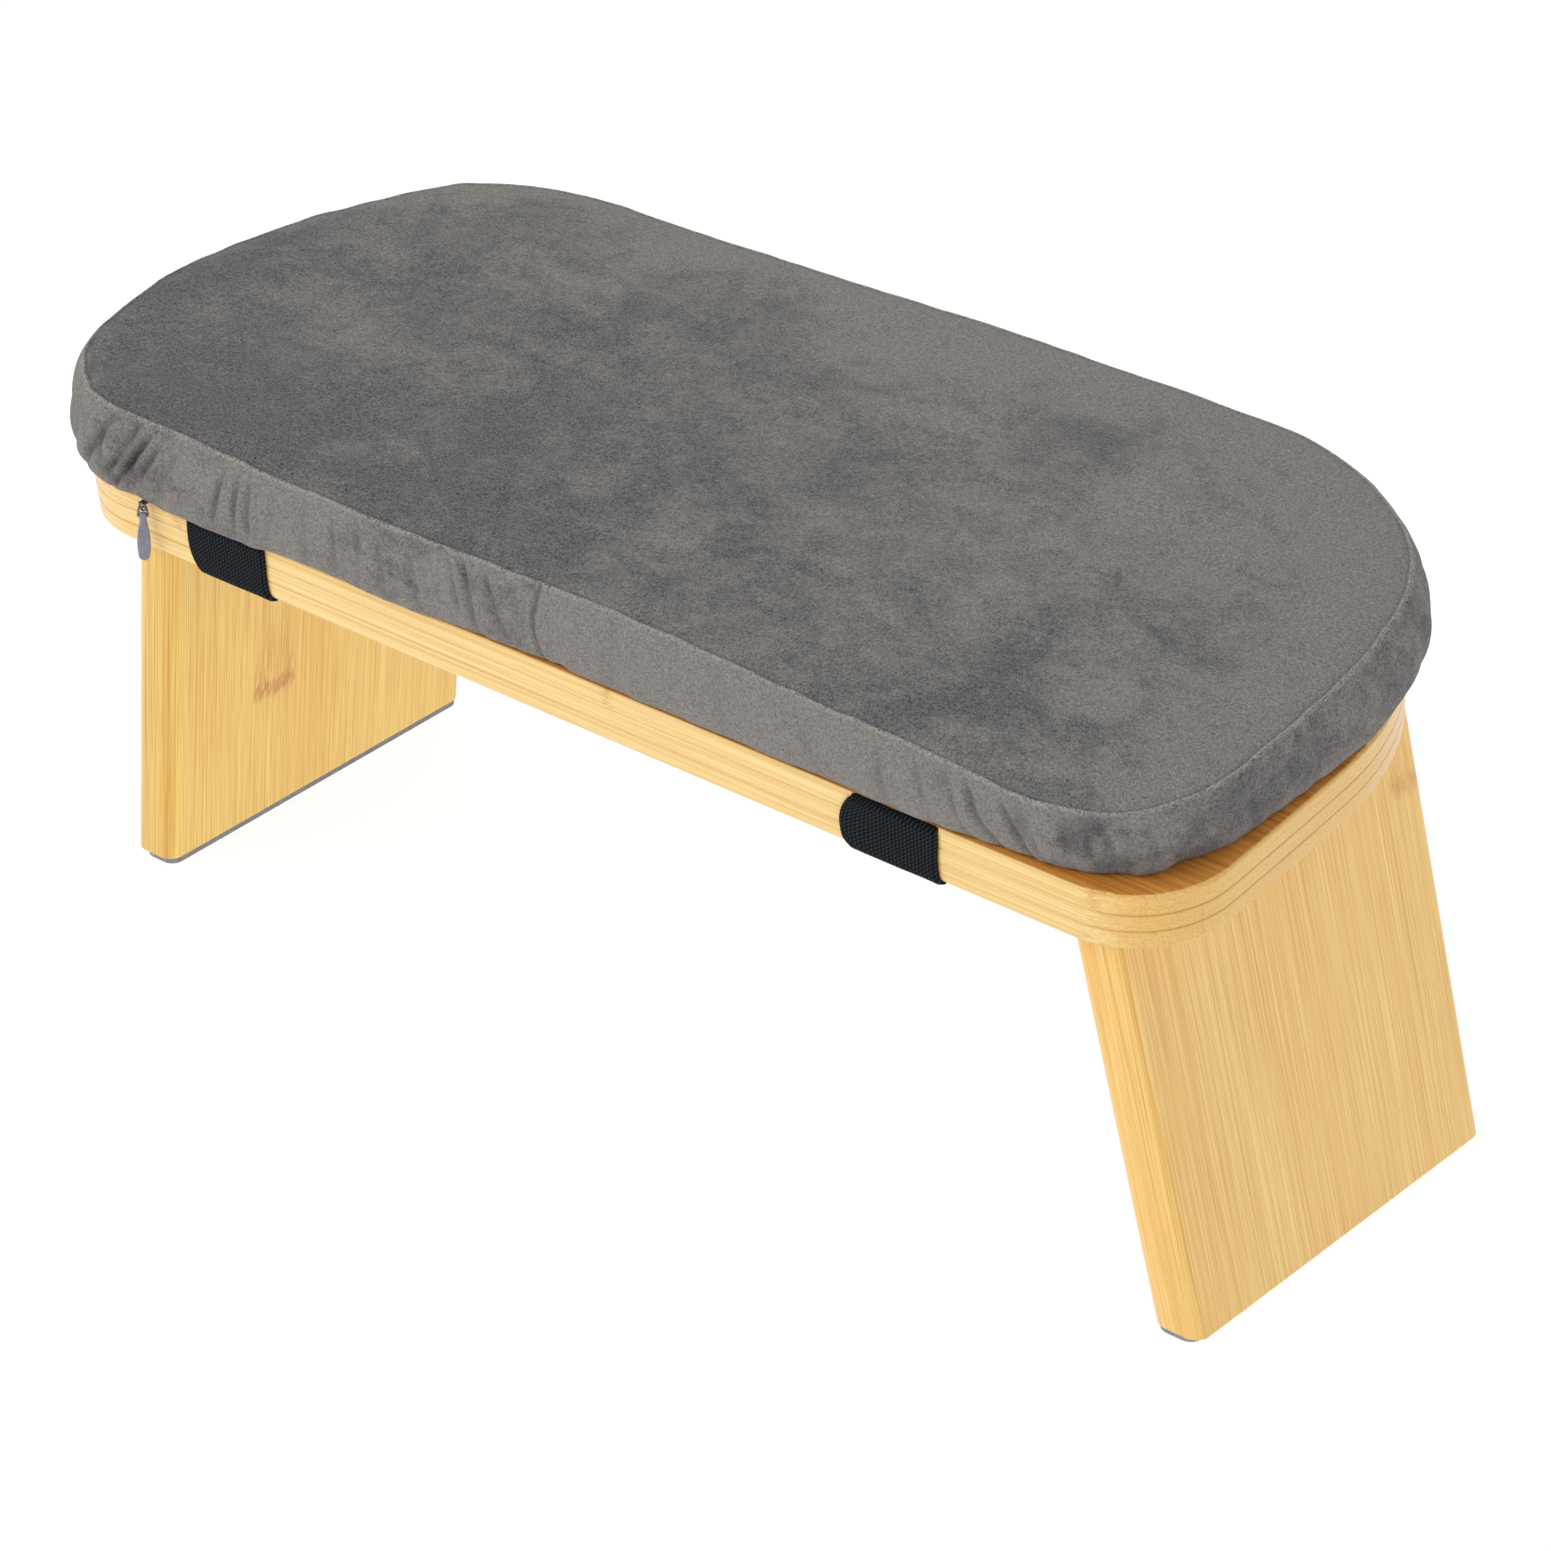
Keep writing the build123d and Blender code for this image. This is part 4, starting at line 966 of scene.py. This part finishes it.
def underside_rows(hem):
    """Rings from the centre line out to the hem."""
    is_zip = (OUTWARD[:, 1] < -0.999) & (RIM_X > -194.0) & (RIM_X < 159.5)
    zip_part = ring_filter(is_zip.astype(float), np.hanning(9))
    rows = []
    for i, (distance, z, zip_y, zip_z) in enumerate(UNDER_RINGS):
        ring = inward(hem, distance, 100.0, turn=(0.10, 0.40))
        # along the zip the rings follow the zip, not the wavering hem
        if zip_y is not None:
            straight = np.maximum(zip_y, hem[:, 1] + 0.12 * (i + 1))
            ring[:, 1] = ring[:, 1] * (1 - zip_part) + straight * zip_part
        rows.append(np.column_stack([ring, z * (1 - zip_part) + zip_z * zip_part]))
    rows.append(np.column_stack([CLOSING, np.full(COUNT, UNDER_Z)]))
    return rows[::-1]


def add_cloth(obj):
    modifier = obj.modifiers.new("cloth", "CLOTH")
    cloth = modifier.settings
    cloth.quality = 5
    cloth.mass = 0.25
    cloth.tension_stiffness = 18
    cloth.compression_stiffness = 18
    cloth.shear_stiffness = 6
    cloth.bending_stiffness = 0.08
    cloth.tension_damping = cloth.compression_damping = cloth.shear_damping = 8
    cloth.vertex_group_mass = "pin"
    cloth.pin_stiffness = 0.6
    cloth.vertex_group_shrink = "loose"
    cloth.shrink_min = 0.0
    cloth.shrink_max = -0.07
    cloth.use_pressure = True
    cloth.uniform_pressure_force = 4.0
    cloth.effector_weights.gravity = 0.0
    modifier.collision_settings.use_collision = False


def settle(rows, seam_row, frames=18):
    """Cloth pass on a coarse copy of the skin; returns the creases it makes in every row.

    The hem is sewn down and the seam nearly so, air pressure fills the cover, and the cloth
    is a little too long at the gathered corners, so it buckles there.
    """
    columns = np.arange(0, COUNT - 2, 4)
    arc = [0.0]                          # mean distance of each row from the hem
    for low, high in zip(rows, rows[1:]):
        arc.append(arc[-1] + float(np.mean(np.linalg.norm(high - low, axis=1))))
    kept = [0]
    for i in range(1, len(rows) - 1):
        if arc[i] - arc[kept[-1]] > (2.1 if arc[i] < 38 else 8.0):
            kept.append(i)
    shape = (len(kept), len(columns))
    start = to_row_frame(np.concatenate([rows[i][columns] for i in kept]))
    obj = mesh_object("cloth_pass", start, ring_faces(*shape))
    pin = obj.vertex_groups.new(name="pin")
    loose = obj.vertex_groups.new(name="loose")
    places = AROUND[columns]
    slack = 0.12
    for amount, centre, width in SLACK:
        slack = slack + amount * np.exp(-(rim_gap(places, centre) / width) ** 2)
    slack = np.clip(slack, 0, 1)
    seam_arc = arc[seam_row]
    for k, i in enumerate(kept):
        if k == 0:
            weight = 1.0
        elif arc[i] < seam_arc - 2.2:
            weight = 0.0
        elif arc[i] < seam_arc + 3.0:
            weight = 0.75
        else:
            weight = 0.30
        for j in range(len(columns)):
            vertex = [k * len(columns) + j]
            if weight > 0:
                pin.add(vertex, weight, "REPLACE")
            if arc[i] < seam_arc + 1.0:
                loose.add(vertex, float(slack[j]), "REPLACE")
    add_cloth(obj)
    scene = bpy.context.scene
    for number in range(1, frames + 1):
        scene.frame_set(number)
    settled = obj.evaluated_get(bpy.context.evaluated_depsgraph_get())
    mesh = settled.to_mesh()
    coords = np.empty(len(mesh.vertices) * 3)
    mesh.vertices.foreach_get("co", coords)
    settled.to_mesh_clear()
    obj.modifiers.clear()
    mesh = obj.data
    bpy.data.objects.remove(obj)
    bpy.data.meshes.remove(mesh)
    scene.frame_set(1)
    moved = (coords.reshape(-1, 3) - start) * 1000.0 @ np.array(SEAT_AXES).T
    moved = moved.reshape(*shape, 3)
    # keep the creases, drop most of the overall swelling: the outline is set already
    swelling = np.apply_along_axis(ring_filter, 1, moved, np.hanning(25))
    moved = (moved - swelling) + 0.15 * swelling
    size = np.linalg.norm(moved, axis=2, keepdims=True)
    moved = moved * np.minimum(1.0, 2.6 / np.maximum(size, 1e-9))
    # back to every column, then every row
    fine = np.apply_along_axis(
        lambda track: np.interp(AROUND, places, track, period=GIRTH), 1, moved)
    kept_arc = np.array([arc[i] for i in kept])
    full = []
    for here in arc:
        j = int(np.clip(np.searchsorted(kept_arc, here) - 1, 0, len(kept) - 2))
        t = np.clip((here - kept_arc[j]) / (kept_arc[j + 1] - kept_arc[j]), 0, 1)
        full.append(fine[j] * (1 - t) + fine[j + 1] * t)
    return full


def cushion():
    seam = seam_line()
    rows, shades = band_rows(*seam)
    top, top_shades = top_rows(*seam)
    rows += top
    shades += top_shades
    moved = settle(rows, seam_row=len(BAND_LEVELS) - 1)
    for i in range(len(rows) - 1):
        rows[i] = rows[i] + moved[i] * CALM[:, None]
    under = underside_rows(rows[0][:, :2])
    rows = under + rows
    shades = [(0.0, 0.0, 0.0, 0.40)] * len(under) + shades
    verts = to_row_frame(np.concatenate(rows))
    obj = mesh_object("cushion_cover", verts, ring_faces(len(rows), COUNT), VELVET)
    for name, values in zip(("seam", "band", "painted_crease_shade", "nap"), zip(*shades)):
        spread = [np.broadcast_to(value, COUNT) for value in values]
        point_attribute(obj, name, np.concatenate(spread))
    # weld the first and last rings, which closed on the centre line
    turn_faces_out(obj, weld=[*range(COUNT), *range(len(verts) - COUNT, len(verts))])
    for polygon in obj.data.polygons:
        polygon.use_smooth = True
    return obj


cover = cushion()
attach(cover, "seat")
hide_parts("cover_top_panel", "cover_side_band", "cover_bottom_panel", "cushion_foam")


# ------------------------------------------------------------------
# Elastic straps: flat webbing with rolled edges, hugging the board
# ------------------------------------------------------------------
STRAP_WIDTH, STRAP_THICK = 36.0, 1.5
HALF_STRAP = STRAP_WIDTH / 2
STRAP_COLUMNS = 25
STRAP_GAP = 0.14                         # between the webbing and the board
BEND = 1.3 + 0.15                        # radius round the board's edges
STRAP_TOP = 20.02
# rows of the path: tucked under the cushion, top bend, front face
TUCK_ROWS, BEND_ROWS, FACE_ROWS = 7, 9, 26
BEND_END = TUCK_ROWS + BEND_ROWS
FACE_END = BEND_END + FACE_ROWS
BOARD_RIM, BOARD_OUTWARD, _, _ = outline(
    length=470.0, width=208.5, front_radius=34.5, rear_radius=113.0, bow=2.5, step=0.5)


def board_edge(x, side):
    """y of the board's edge at x; side is -1 for the front, 1 for the rear."""
    points = BOARD_RIM[side * BOARD_OUTWARD[:, 1] > 0.05]
    order = np.argsort(points[:, 0])
    return np.interp(x, points[order, 0], points[order, 1])


def strap_path(x):
    """Path round the board for each column: y, z and normal y, z, as (rows, columns)."""
    front, rear = board_edge(x, -1) - STRAP_GAP, board_edge(x, 1) + STRAP_GAP

    def bend(parts):
        return [(t, math.sin(t * math.pi / 2), math.cos(t * math.pi / 2)) for t in parts]

    path = [(front + BEND + 3.2 * (1 - t), STRAP_TOP, 0, 1)
            for t in np.linspace(0, 1, TUCK_ROWS + 1)[:-1]]
    path += [(front + BEND - BEND * sin, STRAP_TOP - BEND + BEND * cos, -sin, cos)
             for _, sin, cos in bend(np.linspace(0, 1, BEND_ROWS + 1)[:-1])]
    path += [(front, (STRAP_TOP - BEND) - t * (STRAP_TOP - 2 * BEND), -1, 0)
             for t in np.linspace(0, 1, FACE_ROWS)]
    path += [(front + BEND - BEND * cos, BEND - BEND * sin - STRAP_GAP * t, -cos, -sin)
             for t, sin, cos in bend(np.linspace(0, 1, 9)[1:])]
    path += [(front + BEND + (rear - front - 2 * BEND) * t, -STRAP_GAP, 0, -1)
             for t in np.linspace(0, 1, 90)[1:]]
    path += [(rear - BEND + BEND * sin, BEND - BEND * cos - STRAP_GAP * (1 - t), sin, -cos)
             for t, sin, cos in bend(np.linspace(0, 1, 9)[1:])]
    path += [(rear, BEND + t * (20.35 - BEND), 1, 0) for t in np.linspace(0, 1, 26)[1:]]
    return np.array([np.broadcast_arrays(*entry) for entry in path], float).transpose(1, 0, 2)


def strap(name, node, middle, curl_start, curl, hump, top, flare):
    """One strap centred on x = middle.

    Its left selvedge curls in by `curl` below the height curl_start, bows out by `hump` and
    leans in by `top` at the top; its right selvedge flares by `flare` at the bottom.
    """
    line = -HALF_STRAP + STRAP_WIDTH * np.arange(STRAP_COLUMNS) / (STRAP_COLUMNS - 1)
    y, z, normal_y, normal_z = strap_path(middle + line)
    count = len(y)
    across = np.tile(line, (count, 1))
    mid = STRAP_COLUMNS // 2
    lengths = np.concatenate([[0], np.cumsum(np.hypot(np.diff(y[:, mid]), np.diff(z[:, mid])))])
    along = np.repeat(lengths[:, None], STRAP_COLUMNS, 1)
    # webbing is thinner at the selvedge, beside a slight bead
    edge = np.abs(across) / HALF_STRAP
    thick = (STRAP_THICK - 0.55 * ease(0.90, 1.0, edge)
             + 0.12 * np.exp(-((edge - 0.93) / 0.03) ** 2))
    thick = (thick + 0.10 * value_noise(along / 9.0 + 7, across / 9.0 + 9, 51)
             + 0.05 * value_noise(along / 3.0 + 7, across / 4.0 + 9, 52))
    # pressed thin where it runs in under the cushion
    press = np.ones(count)
    press[:TUCK_ROWS] = 0.17
    turn = np.linspace(0, 1, BEND_ROWS + 1)[:-1] * math.pi / 2
    press[TUCK_ROWS:BEND_END] = 0.17 + 0.83 * (1 - np.cos(turn)) ** 0.8
    thick = thick * press[:, None]
    # the selvedges wander down the front face
    height = np.where(normal_y < -0.3, np.clip(z, 0.0, 30.0), 0.0)
    height[:BEND_END] = 20.0
    bottom = lengths[FACE_END]
    past = np.clip((along - bottom) / 70.0, 0, 1)
    t = np.clip((curl_start - height) / curl_start, 0, 1)
    draw = (1 - np.sqrt(np.clip(1 - t * t, 0, 1))) * (1 - ease(0, 1, past))
    draw = draw * (along < bottom + 75)
    left = ease(-HALF_STRAP + 15, -HALF_STRAP, across)
    right = ease(HALF_STRAP - 9, HALF_STRAP, across)
    face = (normal_y < -0.3) | (np.arange(count)[:, None] < BEND_END)
    bow = np.exp(-(np.minimum(height - 8.4, 0.0) / 9.0) ** 2) * face
    rise = np.clip((height - 8.4) / 11.6, 0, 1) ** 2 * face
    x = (middle + across) + left * (curl * draw - hump * bow + (top + hump) * rise)
    x = x + right * (flare * np.exp(-((height + 0.2) / 1.4) ** 2) * (along < bottom + 4)
                     - 0.5 * np.exp(-((height - 7.6) / 5.4) ** 2) * face)
    verts = np.concatenate([
        np.stack([x, y + normal_y * lift, z + normal_z * lift], -1).reshape(-1, 3)
        for lift in (thick, 0.02)])
    outer = np.arange(count * STRAP_COLUMNS).reshape(count, STRAP_COLUMNS)
    inner = outer + count * STRAP_COLUMNS
    faces = [
        quads(outer[:-1, :-1], outer[:-1, 1:], outer[1:, 1:], outer[1:, :-1]),
        quads(inner[:-1, :-1], inner[1:, :-1], inner[1:, 1:], inner[:-1, 1:]),
    ]
    for i, order in ((0, 1), (-1, -1)):
        side = quads(outer[:-1, i], outer[1:, i], inner[1:, i], inner[:-1, i])
        faces.append(side[:, ::order])
    for i, order in ((0, 1), (-1, -1)):
        end = quads(outer[i, :-1], inner[i, :-1], inner[i, 1:], outer[i, 1:])
        faces.append(end[:, ::order])
    obj = mesh_object(name, to_row_frame(verts), np.concatenate(faces), ELASTIC)
    point_attribute(obj, "along", np.tile(along.ravel(), 2))
    point_attribute(obj, "across", np.tile(across.ravel() + 100, 2))
    turn_faces_out(obj)
    bevel = obj.modifiers.new("edge", "BEVEL")
    bevel.width = 0.0004
    bevel.segments = 2
    bevel.limit_method = "ANGLE"
    bevel.angle_limit = math.radians(50)
    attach(obj, "seat")
    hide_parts(node)


strap("left_strap", "left_elastic_strap", middle=-150.6, curl_start=12.0, curl=5.0, hump=0.0,
      top=0.8, flare=1.8)
strap("right_strap", "right_elastic_strap", middle=131.0, curl_start=3.4, curl=4.6, hump=2.0,
      top=2.8, flare=1.3)


# ------------------------------------------------------------------
# Floor, world, lights, camera
# ------------------------------------------------------------------
def floor_white():
    shader = Shader("floor_white")
    mottle = shader.node("ShaderNodeTexCoord", output="Object").noise(3.0)
    return shader.surface(
        Base_Color=shader.mix(mottle, (0.19, 0.19, 0.19), (0.20, 0.20, 0.20)), Roughness=0.9,
        Specular_IOR_Level=0.02, Emission_Color=(1.0, 1.0, 1.0), Emission_Strength=0.90)


FLOOR_HALF, FLOOR_Z = 6, -0.0004
floor = mesh_object(
    "floor",
    [(x * FLOOR_HALF, y * FLOOR_HALF, FLOOR_Z) for x, y in ((-1, -1), (1, -1), (1, 1), (-1, 1))],
    [(0, 1, 2, 3)], smooth=False)
floor.data.materials.append(floor_white())


def studio_world(light, seen):
    """White world that lights with one strength and shows to the camera with another."""
    world = bpy.data.worlds.new("studio")
    bpy.context.scene.world = world
    world.use_nodes = True
    nodes, link = world.node_tree.nodes, world.node_tree.links.new
    lighting, backdrop = nodes["Background"], nodes.new("ShaderNodeBackground")
    for background, strength in ((lighting, light), (backdrop, seen)):
        background.inputs[0].default_value = (1.0, 1.0, 1.0, 1.0)
        background.inputs[1].default_value = strength
    rays = nodes.new("ShaderNodeLightPath")
    pick = nodes.new("ShaderNodeMixShader")
    link(rays.outputs["Is Camera Ray"], pick.inputs[0])
    link(lighting.outputs[0], pick.inputs[1])
    link(backdrop.outputs[0], pick.inputs[2])
    link(pick.outputs[0], nodes["World Output"].inputs[0])


def area(name, place, target, size, power, color=(1, 1, 1)):
    light = bpy.data.lights.new(name, "AREA")
    light.shape = "RECTANGLE"
    light.size, light.size_y = size
    light.energy = power
    light.color = color
    obj = bpy.data.objects.new(name, light)
    bpy.context.scene.collection.objects.link(obj)
    obj.location = place
    aim = Vector(target) - Vector(place)
    obj.rotation_euler = aim.to_track_quat("-Z", "Y").to_euler()


def camera(place, right, up, back, lens):
    data = bpy.data.cameras.new("camera")
    obj = bpy.data.objects.new("camera", data)
    bpy.context.scene.collection.objects.link(obj)
    turn = Matrix((right, up, back)).transposed().to_4x4()
    obj.matrix_world = Matrix.Translation(place) @ turn
    data.sensor_width = 36.0
    data.lens = lens
    data.clip_start = 0.01
    bpy.context.scene.camera = obj


studio_world(light=0.62, seen=1.0)
area("key", place=(-0.9, -1.9, 1.5), target=(0, 0, 0.12), size=(1.6, 1.2), power=24.0,
     color=(1.0, 0.985, 0.96))
area("top", place=(-0.2, 0.5, 2.2), target=(0, 0, 0.2), size=(2.2, 1.6), power=11.0)
area("right", place=(2.3, -0.3, 0.9), target=(0, 0, 0.15), size=(1.4, 1.2), power=5.0)
camera(place=(0.90193, -1.16597, 0.93315), lens=114.93,
       right=(0.78286583, 0.62149579, 0.02939527),
       up=(-0.32807656, 0.37219536, 0.86823752),
       back=(0.52866518, -0.68935738, 0.49527723))
bpy.context.scene.view_settings.view_transform = "Standard"
bpy.context.scene.view_settings.look = "None"
